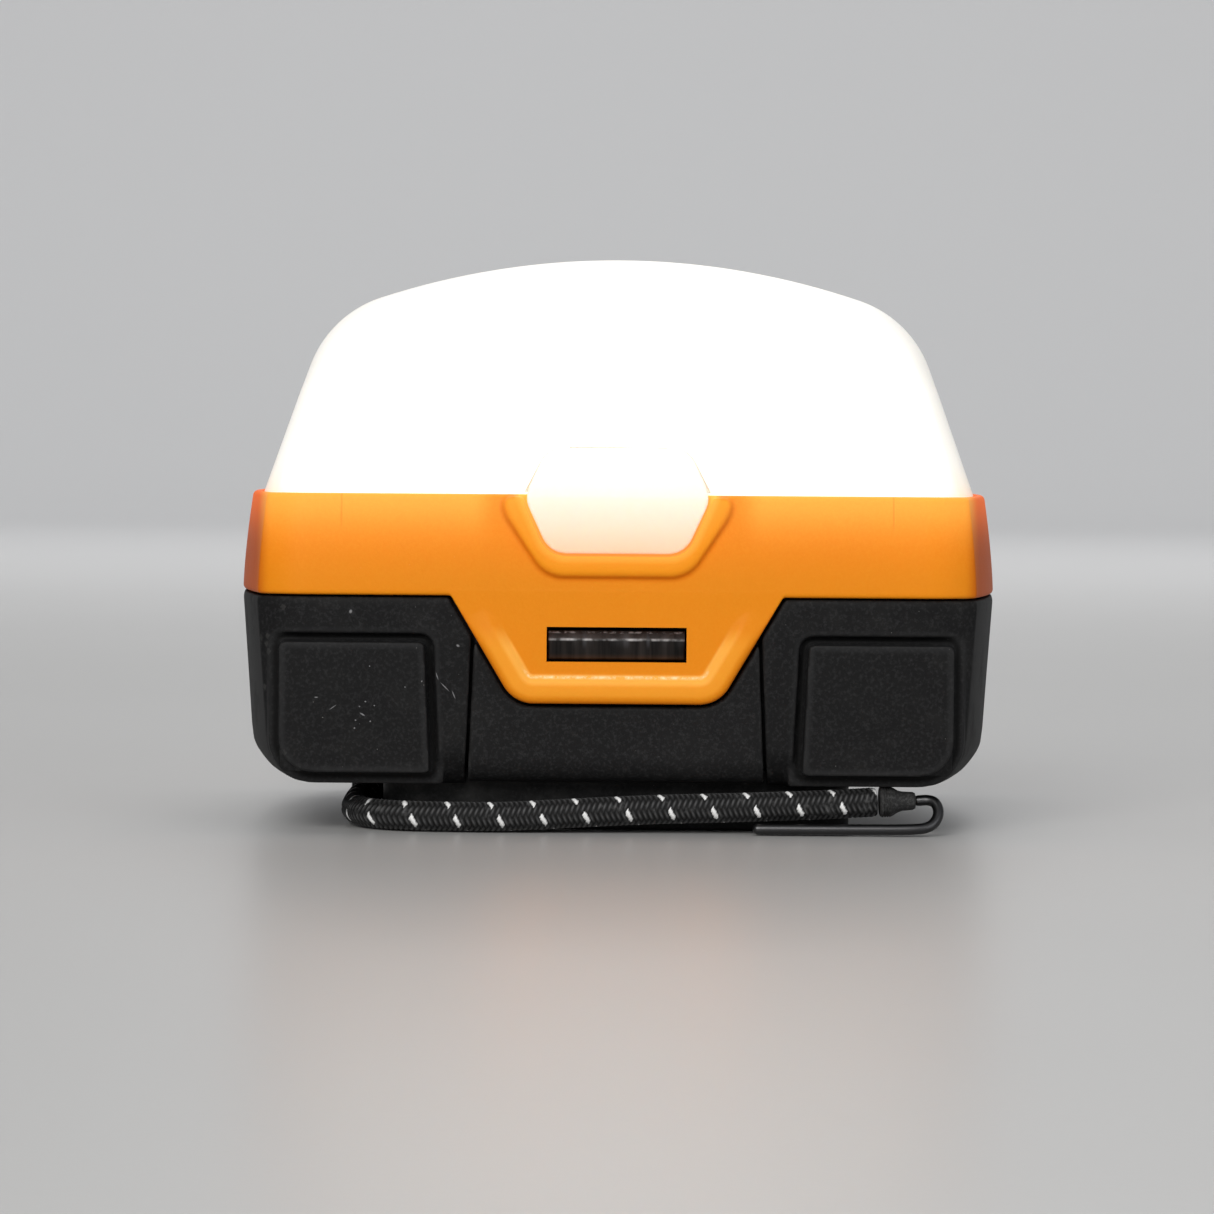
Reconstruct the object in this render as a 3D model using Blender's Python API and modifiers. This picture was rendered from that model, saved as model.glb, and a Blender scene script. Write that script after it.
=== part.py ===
"""Compact camping lantern: a milky dome on an orange collar, over a black battery base.

Lengths in this file are millimetres, and MM turns them into metres as each mesh is stored.
The front, with the push button, faces -Y. The lantern stands on z = 0, centred on the Z axis.
"""

import math

import bmesh
import bpy
from mathutils import Matrix, Vector

MM = 0.001
GAP = 0.3

# Plan outline: straight front and back, bulged sides, and corners that curve to a crease with the sides.
HALF_WIDTH = 40.0
HALF_DEPTH = 27.7
SIDE_RADIUS = 100.0
CORNER_RADIUS = 8.0
CORNER_TURN_DEG = 42.0
CORNER_STEPS = 6
SIDE_STEPS = 4

# Heights of the main joints between the pieces.
FOOT_TOP = 6.2
TUB_BOTTOM = 6.5
TUB_FLOOR = 8.5
BASE_TOP = 24.0
SPIGOT_TOP = 26.8
COLLAR_BOTTOM = 24.2
COLLAR_TOP = 34.5
LEDGE_BOTTOM = 30.3
LEDGE_TOP = 31.6

# Diffuser dome.
DOME_FOOT = 32.7
DOME_WALL = 1.6
DOME_INSET = 2.3
DOME_APEX = 59.3
DOME_TAPER_DEG = 19.5
DOME_TOP_RADIUS = 80.0
DOME_FILLET = 11.7
DOME_DEPTH_TAPER = 0.85
DOME_CORNER = 3.5
DOME_CORNER_GROWTH = 9.0
DOME_PLAN_SIDE = 2.6

# Front and rear tongues of the collar.
TONGUE_TOP_HALF = 16.85
TONGUE_BOTTOM = 13.3
TONGUE_BOTTOM_HALF = 10.4
TONGUE_CORNER = 3.5
TONGUE_FACE = 27.57
TONGUE_BACK = 25.8
LIP_FACE = 28.2
LIP_WIDTH = 2.7
LIP_TOP = 21.6
WINDOW_HALF = 7.1
WINDOW_LOW = 17.55
WINDOW_HIGH = 21.1
RELIEF_FACE = 26.8

# Push button: a hexagon whose lower facet stands upright and whose upper facet leans with the dome.
BUTTON_CORNERS = [(6.8, 28.6), (9.42, 34.25), (7.1, 39.2), (-7.1, 39.2), (-9.42, 34.25), (-6.8, 28.6)]
BUTTON_ROUND = 2.6
BUTTON_LOW = 28.6
BUTTON_CREASE = 34.3
BUTTON_FACE_LOW = 27.9
BUTTON_FACE_CREASE = 27.5
BUTTON_LEAN = 0.36
BUTTON_BACK = 27.0
BUTTON_BOSS_LOW = 34.95
BUTTON_BOSS_BACK = 24.6
BUTTON_SKIRT_END = 23.2
BUTTON_SKIRT = 0.6
BUTTON_STEM_END = 24.1
BUTTON_RECESS = 26.2
SWITCH_Z = 36.8
SWITCH_HALF_WIDTH = 2.25
SWITCH_HALF_HEIGHT = 1.5
DOME_OPENING_LOW = 34.65
RIM_LOW = 26.0
RIM_HIGH = 34.3
RIM_CORNERS = [
    (-11.9, RIM_HIGH), (-11.5, 32.3), (-7.3, RIM_LOW), (7.3, RIM_LOW), (11.5, 32.3), (11.9, RIM_HIGH),
]
RIM_ROUND = 3.5
RIM_PROUD = 0.7
RIM_BACK = 26.4

# Central panel and rubber bumpers of the base.
PANEL_FACE = 26.8
PANEL_HALF_TOP = 14.3
PANEL_HALF_BOTTOM = 15.1
BUMPER_BOTTOM = 4.8
PAD_FACE = 28.0
PAD_INNER_TOP = 19.5
PAD_INNER_LOW = 18.9
PAD_OUTER = 34.2
PAD_LOW = 6.2
PAD_HIGH = 19.4
PAD_CORNER = 3.4

# Snap catches.
CATCH_HALF = 6.85
CATCH_LOW = 17.95
CATCH_HIGH = 20.6
CATCH_NOSE = 26.6
CATCH_FLANGE_FRONT = 23.2
CATCH_FLANGE_BACK = 22.2
CATCH_RIB_FRONT = 18.2
CATCH_RIB_BACK = 16.7
CATCH_POCKET_BACK = 17.2
CATCH_POCKET_RADIUS = 2.25
CATCH_SLOPE = 1.7
CATCH_FLANGE_HALF = 8.5
CATCH_FLANGE_LOW = 16.8
CATCH_FLANGE_HIGH = 21.8
CATCH_SPRING_Z = 19.3

# Cells: three AAA lying side by side along X.
CELL_RADIUS = 5.25
CELL_LENGTH = 44.5
CELL_PITCH = 11.0
CELL_Z = 14.05
CELL_PLATE_X = 24.7

# Foot.
FOOT_HALF_WIDTH = 24.5
FOOT_HALF_DEPTH = 21.5
FOOT_CORNER = 3.2
FOOT_CHAMFER = 0.3
FOOT_SIDE_RADIUS = 400.0
CORD_BRACKET = [(-28.6, 10.3, 0.4), (-23.5, 12.0, 4.4)]
FOOT_SCREWS = [(21.0, 18.8), (-21.0, 18.8), (-21.0, -18.8), (21.0, -18.8)]
CHASSIS_SCREWS = [(20.0, 23.95), (-20.0, 23.95), (-20.0, -23.95), (20.0, -23.95)]
BOARD_SCREWS = [(29.0, 0.0), (-29.0, 0.0)]
SCREW_TAP = 0.95
SCREW_SHANK = 0.75

# Inside of the head, from the chassis up.
CHASSIS_LOW = 28.5
CHASSIS_HIGH = 30.0
DRIVER_LOW = 30.3
DRIVER_HIGH = 31.3
LED_BOARD_LOW = 32.6
LED_BOARD_HIGH = 33.8
SHEET_LOW = 34.1
SHEET_HIGH = 34.5
LED_HALF = 1.75
LED_HIGH = 35.0
PIN_X = 31.0
LED_PLACES = [(-20.0, -8.5), (0.0, -8.5), (20.0, -8.5), (-20.0, 8.5), (0.0, 8.5), (20.0, 8.5)]

# Elastic cord, from its anchor on the foot's left side to the crimp of its hook.
CORD_DIAMETER = 3.1
CORD_ROUTE = [
    (-26.9, 4.7, 2.3), (-27.0, 0.0, 2.05), (-27.2, -6.0, 1.8), (-27.2, -12.0, 1.65), (-26.9, -17.0, 1.6),
    (-25.3, -21.8, 1.6), (-21.6, -24.6, 1.6), (-16.0, -25.4, 1.6), (-11.0, -25.5, 1.65), (-3.0, -25.5, 2.1),
    (4.0, -25.4, 2.45), (12.0, -25.3, 2.7), (18.7, -25.2, 2.95), (23.0, -25.0, 3.15), (26.6, -24.7, 3.35),
]
HOOK_WIRE = 1.1
HOOK_ROUTE = [
    (30.9, -24.5, 3.5), (31.9, -24.6, 3.55), (32.6, -25.0, 3.3), (32.9, -25.6, 2.5), (32.6, -26.2, 1.6),
    (31.7, -26.7, 0.95), (30.0, -26.9, 0.75), (26.0, -26.95, 0.7), (21.0, -26.95, 0.68), (14.5, -26.9, 0.66),
]

parts = bpy.data.collections.new("camping_lantern")
cutters = bpy.data.collections.new("cutters")


# ---------------------------------------------------------------- materials

def plastic(name, colour, roughness=0.45, metallic=0.0, emission=0.0):
    """Principled material with one colour."""
    material = bpy.data.materials.new(name)
    material.use_nodes = True
    shader = material.node_tree.nodes["Principled BSDF"]
    shader.inputs["Base Color"].default_value = (*colour, 1.0)
    shader.inputs["Roughness"].default_value = roughness
    shader.inputs["Metallic"].default_value = metallic
    shader.inputs["Emission Color"].default_value = (*colour, 1.0)
    shader.inputs["Emission Strength"].default_value = emission
    return material


# ---------------------------------------------------------------- outlines

def quarter_ring(quarter):
    """Mirror the front-right quarter of an outline round both axes."""
    right_rear = [(x, -y) for x, y in reversed(quarter[:-1])]
    left_rear = [(-x, -y) for x, y in quarter]
    left_front = [(-x, y) for x, y in reversed(quarter[:-1])]
    return quarter + right_rear + left_rear + left_front


def outline(half_width, half_depth, side_radius, corner_radius, turn=None):
    """Plan outline, as (x, y) points anticlockwise from the front-right corner.

    A corner arc turns by the angle given and meets the side at a crease.
    Without an angle it runs into the side smoothly.
    """
    corner = max(corner_radius, 0.8)
    side_centre = half_width - side_radius
    corner_y = corner - half_depth
    if turn is None:
        corner_x = side_centre + math.sqrt((side_radius - corner) ** 2 - corner_y ** 2)
        turn = math.pi / 2 + math.atan2(corner_y, corner_x - side_centre)
        end_y = corner_y - corner * math.cos(turn)
    else:
        end_y = corner_y - corner * math.cos(turn)
        corner_x = side_centre + math.sqrt(side_radius ** 2 - end_y ** 2) - corner * math.sin(turn)
    side_angle = math.asin(end_y / side_radius)
    quarter = []
    for step in range(CORNER_STEPS):
        angle = -math.pi / 2 + turn * step / CORNER_STEPS
        quarter.append((corner_x + corner * math.cos(angle), corner_y + corner * math.sin(angle)))
    for step in range(SIDE_STEPS + 1):
        angle = side_angle * (1 - step / SIDE_STEPS)
        quarter.append((side_centre + side_radius * math.cos(angle), side_radius * math.sin(angle)))
    return quarter_ring(quarter)


def ring(z, inset, depth_inset=None):
    """Ring of the lantern's plan outline at height z, moved inwards."""
    depth_inset = inset if depth_inset is None else depth_inset
    flat = outline(HALF_WIDTH - inset, HALF_DEPTH - depth_inset, SIDE_RADIUS - inset, CORNER_RADIUS - inset,
                   math.radians(CORNER_TURN_DEG))
    return [(x, y, z) for x, y in flat]


def rounded(corners, radius, closed=True, steps=4):
    """Polygon or open path whose corners are arcs of the radius."""
    points = []
    count = len(corners)
    for index in range(count):
        if not closed and index in (0, count - 1):
            points.append(tuple(corners[index]))
            continue
        here = Vector(corners[index])
        before = (Vector(corners[index - 1]) - here).normalized()
        after = (Vector(corners[(index + 1) % count]) - here).normalized()
        half = before.angle(after) / 2
        centre = here + (before + after).normalized() * (radius / math.sin(half))
        start = here + before * (radius / math.tan(half)) - centre
        end = here + after * (radius / math.tan(half)) - centre
        first = math.atan2(start.y, start.x)
        turn = (math.atan2(end.y, end.x) - first + math.pi) % (2 * math.pi) - math.pi
        for step in range(steps + 1):
            angle = first + turn * step / steps
            points.append((centre.x + radius * math.cos(angle), centre.y + radius * math.sin(angle)))
    return points


def moved_out(points, distance, closed=True):
    """Polygon or path moved to its right-hand side, which is outwards when it runs anticlockwise."""
    result = []
    count = len(points)
    for index in range(count):
        here = Vector(points[index])
        last = index - 1 if closed or index else index
        following = (index + 1) % count if closed or index < count - 1 else index
        arrive = here - Vector(points[last])
        leave = Vector(points[following]) - here
        arrive = (arrive if arrive.length else leave).normalized()
        leave = (leave if leave.length else arrive).normalized()
        side_in = Vector((arrive.y, -arrive.x))
        side_out = Vector((leave.y, -leave.x))
        middle = (side_in + side_out).normalized()
        result.append(tuple(here + middle * (distance / middle.dot(side_in))))
    return result


def smooth_path(route, spacing):
    """Points along a Catmull-Rom curve through the route, about one spacing apart."""
    knots = [Vector(point) for point in route]
    knots = [2 * knots[0] - knots[1]] + knots + [2 * knots[-1] - knots[-2]]
    points = []
    for index in range(1, len(knots) - 2):
        p0, p1, p2, p3 = knots[index - 1:index + 3]
        steps = max(1, round((p2 - p1).length / spacing))
        for step in range(steps):
            t = step / steps
            points.append(0.5 * (2 * p1 + (p2 - p0) * t + (2 * p0 - 5 * p1 + 4 * p2 - p3) * t ** 2
                                 + (3 * p1 - p0 - 3 * p2 + p3) * t ** 3))
    points.append(knots[-2])
    return points


# ---------------------------------------------------------------- solids

def loft(rings, closed=False):
    """Skin over a stack of equal rings, capped at its ends or joined end to end."""
    bm = bmesh.new()
    loops = [[bm.verts.new(point) for point in points] for points in rings]
    pairs = list(zip(loops, loops[1:]))
    if closed:
        pairs.append((loops[-1], loops[0]))
    else:
        bm.faces.new(list(reversed(loops[0])))
        bm.faces.new(loops[-1])
    for low, high in pairs:
        for index in range(len(low)):
            after = (index + 1) % len(low)
            bm.faces.new((low[index], low[after], high[after], high[index]))
    bmesh.ops.recalc_face_normals(bm, faces=bm.faces)
    return bm


def prism_y(points, front, back):
    """Prism of an (x, z) outline between two depths in front of the middle plane."""
    return loft([[(x, -front, z) for x, z in points], [(x, -back, z) for x, z in points]])


def block(low, high):
    """Box between two corners."""
    bm = bmesh.new()
    bmesh.ops.create_cube(bm, size=1.0)
    size = [h - l for l, h in zip(low, high)]
    middle = [(h + l) / 2 for l, h in zip(low, high)]
    bmesh.ops.scale(bm, vec=size, verts=bm.verts)
    bmesh.ops.translate(bm, vec=middle, verts=bm.verts)
    return bm


def rod(radius, start, end, sides=16):
    """Cylinder from one point to another."""
    start = Vector(start)
    axis = Vector(end) - start
    bm = bmesh.new()
    bmesh.ops.create_cone(bm, cap_ends=True, segments=sides, radius1=radius, radius2=radius,
                          depth=axis.length)
    turn = axis.to_track_quat("Z", "Y").to_matrix().to_4x4()
    bmesh.ops.transform(bm, matrix=Matrix.Translation(start + axis / 2) @ turn, verts=bm.verts)
    return bm


def mirrored_y(bm):
    """The same solid on the other side of the XZ plane."""
    copy = bm.copy()
    bmesh.ops.scale(copy, vec=(1, -1, 1), verts=copy.verts)
    bmesh.ops.recalc_face_normals(copy, faces=copy.faces)
    return copy


def shave(bm, point, normal):
    """Convex solid cut by a plane; the side that the normal points to is removed."""
    everything = bm.verts[:] + bm.edges[:] + bm.faces[:]
    cut = bmesh.ops.bisect_plane(bm, geom=everything, plane_co=point, plane_no=normal, clear_outer=True)
    rim = [item for item in cut["geom_cut"] if isinstance(item, bmesh.types.BMEdge)]
    bmesh.ops.contextual_create(bm, geom=rim)
    bmesh.ops.recalc_face_normals(bm, faces=bm.faces)
    return bm


# ---------------------------------------------------------------- objects

def store(name, bm, material=None, origin=(0.0, 0.0, 0.0)):
    """Object in metres with its origin at the given point; without a material it is a cutter."""
    shift = Matrix.Translation(-Vector(origin))
    bmesh.ops.transform(bm, matrix=Matrix.Scale(MM, 4) @ shift, verts=bm.verts)
    mesh = bpy.data.meshes.new(name)
    bm.to_mesh(mesh)
    bm.free()
    item = bpy.data.objects.new(name, mesh)
    item.location = Vector(origin) * MM
    if material:
        parts.objects.link(item)
        mesh.materials.append(material)
        mesh.shade_smooth()
        mesh.set_sharp_from_angle(angle=math.radians(32))
    else:
        cutters.objects.link(item)
        item.hide_render = True
        item.display_type = "WIRE"
    return item


def boolean(item, bm, operation="DIFFERENCE"):
    """Cut a solid out of the object, or join it on."""
    number = len(item.modifiers)
    cutter = store(f"{item.name}_tool_{number}", bm)
    modifier = item.modifiers.new(f"boolean_{number}", "BOOLEAN")
    modifier.operation = operation
    modifier.solver = "EXACT"
    modifier.object = cutter


def bevel(item, width, segments=2, angle_deg=40):
    """Rounded edges, in millimetres."""
    modifier = item.modifiers.new("rounded_edges", "BEVEL")
    modifier.width = width * MM
    modifier.segments = segments
    modifier.limit_method = "ANGLE"
    modifier.angle_limit = math.radians(angle_deg)


def turned(name, profile, material, origin, rotation=(0.0, 0.0, 0.0), steps=14):
    """Solid of revolution of an (r, z) profile that runs from top to bottom."""
    mesh = bpy.data.meshes.new(name)
    points = [(r * MM, 0.0, z * MM) for r, z in profile]
    mesh.from_pydata(points, [(i, i + 1) for i in range(len(points) - 1)], [])
    mesh.materials.append(material)
    item = bpy.data.objects.new(name, mesh)
    item.location = Vector(origin) * MM
    item.rotation_euler = rotation
    parts.objects.link(item)
    screw = item.modifiers.new("turned", "SCREW")
    screw.steps = steps
    screw.render_steps = steps
    screw.use_merge_vertices = True
    screw.merge_threshold = 0.00001
    screw.use_smooth_shade = True
    return item


def tube(name, points, diameter, material, origin=(0.0, 0.0, 0.0)):
    """Round wire or cord through the points."""
    curve = bpy.data.curves.new(name, "CURVE")
    curve.dimensions = "3D"
    curve.bevel_depth = diameter / 2 * MM
    curve.bevel_resolution = 2
    curve.use_fill_caps = True
    spline = curve.splines.new("POLY")
    spline.points.add(len(points) - 1)
    for knot, point in zip(spline.points, points):
        knot.co = (*((Vector(point) - Vector(origin)) * MM), 1.0)
    curve.materials.append(material)
    item = bpy.data.objects.new(name, curve)
    item.location = Vector(origin) * MM
    parts.objects.link(item)
    return item


def coil_points(start_radius, end_radius, length, turns, steps=8):
    """Points of a coil along +Z from the origin."""
    count = turns * steps
    points = []
    for step in range(count + 1):
        angle = 2 * math.pi * step / steps
        share = step / count
        radius = start_radius + (end_radius - start_radius) * share
        points.append(Vector((radius * math.cos(angle), radius * math.sin(angle), length * share)))
    return points


def screw(name, place, head_radius, head_low, head_high, tip, material):
    """Upright screw with its head below; the axis is at place."""
    profile = [(0.0, tip), (SCREW_SHANK * 0.6, tip), (SCREW_SHANK, tip - 0.8), (SCREW_SHANK, head_high),
               (head_radius, head_high), (head_radius, head_low + 0.3), (head_radius - 0.3, head_low),
               (0.0, head_low)]
    return turned(name, profile, material, (*place, 0.0), steps=12)


# ---------------------------------------------------------------- head

def dome_profile():
    """Half-widths and heights of the dome's outside, from its foot to its apex."""
    taper = math.radians(DOME_TAPER_DEG)
    base = HALF_WIDTH - DOME_INSET
    normal = Vector((math.cos(taper), math.sin(taper)))
    along = Vector((-math.sin(taper), math.cos(taper)))
    top_centre = Vector((0.0, DOME_APEX - DOME_TOP_RADIUS))
    start = Vector((base, COLLAR_TOP)) - normal * DOME_FILLET - top_centre
    half = start.dot(along)
    reach = DOME_TOP_RADIUS - DOME_FILLET
    slide = -half + math.sqrt(half * half - start.length_squared + reach * reach)
    centre = top_centre + start + along * slide
    top_angle = math.atan2(centre.y - top_centre.y, centre.x)
    points = [(base, DOME_FOOT), (base, COLLAR_TOP)]
    for step in range(6):
        angle = taper + (top_angle - taper) * step / 5
        points.append((centre.x + DOME_FILLET * math.cos(angle), centre.y + DOME_FILLET * math.sin(angle)))
    for step in range(1, 5):
        angle = top_angle + (math.pi / 2 - top_angle) * step / 4.3
        points.append((DOME_TOP_RADIUS * math.cos(angle), top_centre.y + DOME_TOP_RADIUS * math.sin(angle)))
    return points


def dome_ring(half_width, z, wall):
    """One level of the dome; it turns from the plan outline into an ellipse towards the apex."""
    base_width = HALF_WIDTH - DOME_INSET
    base_depth = HALF_DEPTH - DOME_INSET
    share = half_width / base_width
    narrow = base_depth - DOME_DEPTH_TAPER * (base_width - half_width)
    half_depth = max(narrow, base_depth * share * 0.97) - wall
    half_width = half_width - wall
    corner = DOME_CORNER - wall + DOME_CORNER_GROWTH * (1 - share)
    corner = min(corner, half_depth * 0.9)
    round_share = max(0.0, 1.0 - share / 0.9) ** 0.8
    points = []
    for x, y in outline(half_width, half_depth, max(half_width * DOME_PLAN_SIDE, 0.5), corner):
        angle = math.atan2(y / half_depth, x / half_width)
        oval = (half_width * math.cos(angle), half_depth * math.sin(angle))
        points.append((x + (oval[0] - x) * round_share, y + (oval[1] - y) * round_share, z))
    return points


def make_dome():
    """Milky shell: the inside from apex to foot, then the outside from foot to apex."""
    profile = dome_profile()
    outside = [dome_ring(half_width, z, 0.0) for half_width, z in profile]
    inside = [dome_ring(half_width, z if index < 3 else z - DOME_WALL, DOME_WALL)
              for index, (half_width, z) in enumerate(profile) if half_width > 3 * DOME_WALL]
    rings = list(reversed(inside)) + outside
    dome = store("diffuser_dome", loft(rings), plastic("diffuser_dome", (0.98, 0.93, 0.82), 0.3, 0.0, 0.6))
    corners = [(BUTTON_CORNERS[1][0], DOME_OPENING_LOW), BUTTON_CORNERS[2], BUTTON_CORNERS[3],
               (BUTTON_CORNERS[4][0], DOME_OPENING_LOW)]
    opening = moved_out(rounded(corners, BUTTON_ROUND, closed=False), GAP, closed=False)
    boolean(dome, prism_y(opening, HALF_DEPTH + 3, 20.0))


def collar_inset(z):
    """Draft of the collar's outside."""
    return 0.1 + 0.94 * (z - COLLAR_BOTTOM) / (COLLAR_TOP - 0.7 - COLLAR_BOTTOM)


def collar_face(z):
    """Depth of the collar's front face at height z."""
    return HALF_DEPTH - collar_inset(z)


def tongue_half(z):
    """Half-width of the tongue at height z."""
    share = (z - TONGUE_BOTTOM) / (COLLAR_BOTTOM - TONGUE_BOTTOM)
    return TONGUE_BOTTOM_HALF + (TONGUE_TOP_HALF - TONGUE_BOTTOM_HALF) * share


def tongue_path(top, extra=0.0):
    """Edge of the tongue from its left top, down and round to its right top, moved outwards by extra."""
    corners = [(-tongue_half(top), top), (-TONGUE_BOTTOM_HALF, TONGUE_BOTTOM),
               (TONGUE_BOTTOM_HALF, TONGUE_BOTTOM), (tongue_half(top), top)]
    return moved_out(rounded(corners, TONGUE_CORNER, closed=False), extra, closed=False)


def make_tongue_solids():
    """Front tongue and its raised lip, to be joined to the collar."""
    plate = prism_y(tongue_path(COLLAR_BOTTOM + 0.6), TONGUE_FACE, TONGUE_BACK)
    edge = tongue_path(LIP_TOP, -0.05)
    inner = moved_out(edge, -LIP_WIDTH, closed=False)
    lip = prism_y(edge + list(reversed(inner)), LIP_FACE, TONGUE_FACE - 0.6)
    return [plate, lip]


def make_tongue_cuts():
    """Window of the front tongue, and the relief that lets the latch nose pass behind the lower bar."""
    window = block((-WINDOW_HALF, -LIP_FACE - 1, WINDOW_LOW), (WINDOW_HALF, -TONGUE_BACK + 1, WINDOW_HIGH))
    relief = block((-WINDOW_HALF - 0.2, -RELIEF_FACE, TONGUE_BOTTOM - 1),
                   (WINDOW_HALF + 0.2, -TONGUE_BACK + 1, WINDOW_LOW + 0.2))
    return [window, relief]


def make_collar():
    """Orange ring with an inner ledge, two tongues, a button recess and the rim round it."""
    sections = [
        (0.1, COLLAR_BOTTOM), (0.1, COLLAR_BOTTOM + 0.8), (0.48, 29.0), (0.92, 33.2), (1.04, 34.0),
        (1.22, 34.35), (1.5, COLLAR_TOP), (1.85, COLLAR_TOP), (2.0, COLLAR_TOP - 0.15), (2.0, LEDGE_TOP),
        (5.5, LEDGE_TOP), (5.5, LEDGE_BOTTOM), (2.0, LEDGE_BOTTOM), (2.0, COLLAR_BOTTOM),
    ]
    bm = loft([ring(z, inset) for inset, z in sections], closed=True)
    collar = store("collar", bm, plastic("collar", (0.9, 0.34, 0.03), 0.42))
    for solid in make_tongue_solids():
        boolean(collar, mirrored_y(solid), "UNION")
        boolean(collar, solid, "UNION")
    outer = rounded(RIM_CORNERS, RIM_ROUND, closed=False)
    inner_corners = [BUTTON_CORNERS[4], BUTTON_CORNERS[5], BUTTON_CORNERS[0], BUTTON_CORNERS[1]]
    inner = rounded(inner_corners, BUTTON_ROUND, closed=False)
    rim = prism_y(outer + list(reversed(inner)), HALF_DEPTH + 2, RIM_BACK)
    lean = (collar_face(RIM_LOW) - collar_face(RIM_HIGH)) / (RIM_HIGH - RIM_LOW)
    boolean(collar, shave_front(rim, -collar_face(RIM_LOW) - RIM_PROUD, RIM_LOW, lean), "UNION")
    hexagon = rounded(BUTTON_CORNERS, BUTTON_ROUND)
    boolean(collar, prism_y(moved_out(hexagon, GAP), HALF_DEPTH + 3, BUTTON_RECESS))
    for solid in make_tongue_cuts():
        boolean(collar, mirrored_y(solid))
        boolean(collar, solid)
    for x, y in CHASSIS_SCREWS:
        boolean(collar, rod(SCREW_TAP, (x, y, LEDGE_BOTTOM - 1), (x, y, LEDGE_TOP - 0.3), 12))


def shave_front(bm, y, z, lean):
    """Cut the front of a solid to a face through (y, z) that moves back by lean for each unit of height."""
    return shave(bm, (0.0, y, z), Vector((0.0, -1.0, lean)))


def make_button():
    """Push button: thin over the collar, with a thick boss, a skirt through the dome's opening and a stem."""
    edge = rounded(BUTTON_CORNERS, BUTTON_ROUND)
    bm = prism_y(edge, BUTTON_FACE_LOW + 0.1, BUTTON_SKIRT_END)
    slope = (BUTTON_FACE_LOW - BUTTON_FACE_CREASE) / (BUTTON_CREASE - BUTTON_LOW)
    shave_front(bm, -BUTTON_FACE_LOW, BUTTON_LOW, slope)
    shave_front(bm, -BUTTON_FACE_CREASE, BUTTON_CREASE, BUTTON_LEAN)
    origin = (0.0, -BUTTON_BACK, SWITCH_Z)
    button = store("power_button", bm, plastic("power_button", (0.96, 0.84, 0.74), 0.35, 0.0, 0.3), origin)
    boolean(button, block((-12, -BUTTON_BACK, 20), (12, -20, BUTTON_BOSS_LOW)))
    boolean(button, prism_y(moved_out(edge, -BUTTON_SKIRT), BUTTON_BOSS_BACK, 20.0))
    stem = rod(1.8, (0, -BUTTON_BOSS_BACK - 0.8, SWITCH_Z), (0, -BUTTON_STEM_END, SWITCH_Z))
    boolean(button, stem, "UNION")
    plunger = rod(1.0, (0, -BUTTON_STEM_END + GAP, SWITCH_Z), (0, -22.6, SWITCH_Z), 12)
    store("switch_plunger", plunger, plastic("switch_plunger", (0.1, 0.1, 0.1), 0.5), origin)


def make_switch():
    """Tactile switch on an upright board behind the button."""
    board = block((-5.0, -21.2, DRIVER_LOW), (5.0, -20.0, 39.3))
    store("switch_board", board, plastic("switch_board", (0.05, 0.22, 0.1), 0.5))
    body = block((-SWITCH_HALF_WIDTH, -23.3, SWITCH_Z - SWITCH_HALF_HEIGHT),
                 (SWITCH_HALF_WIDTH, -21.5, SWITCH_Z + SWITCH_HALF_HEIGHT))
    switch = store("tactile_switch", body, plastic("tactile_switch", (0.55, 0.55, 0.56), 0.35, 0.8))
    boolean(switch, rod(1.3, (0, -24.0, SWITCH_Z), (0, -21.8, SWITCH_Z), 12))


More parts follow.
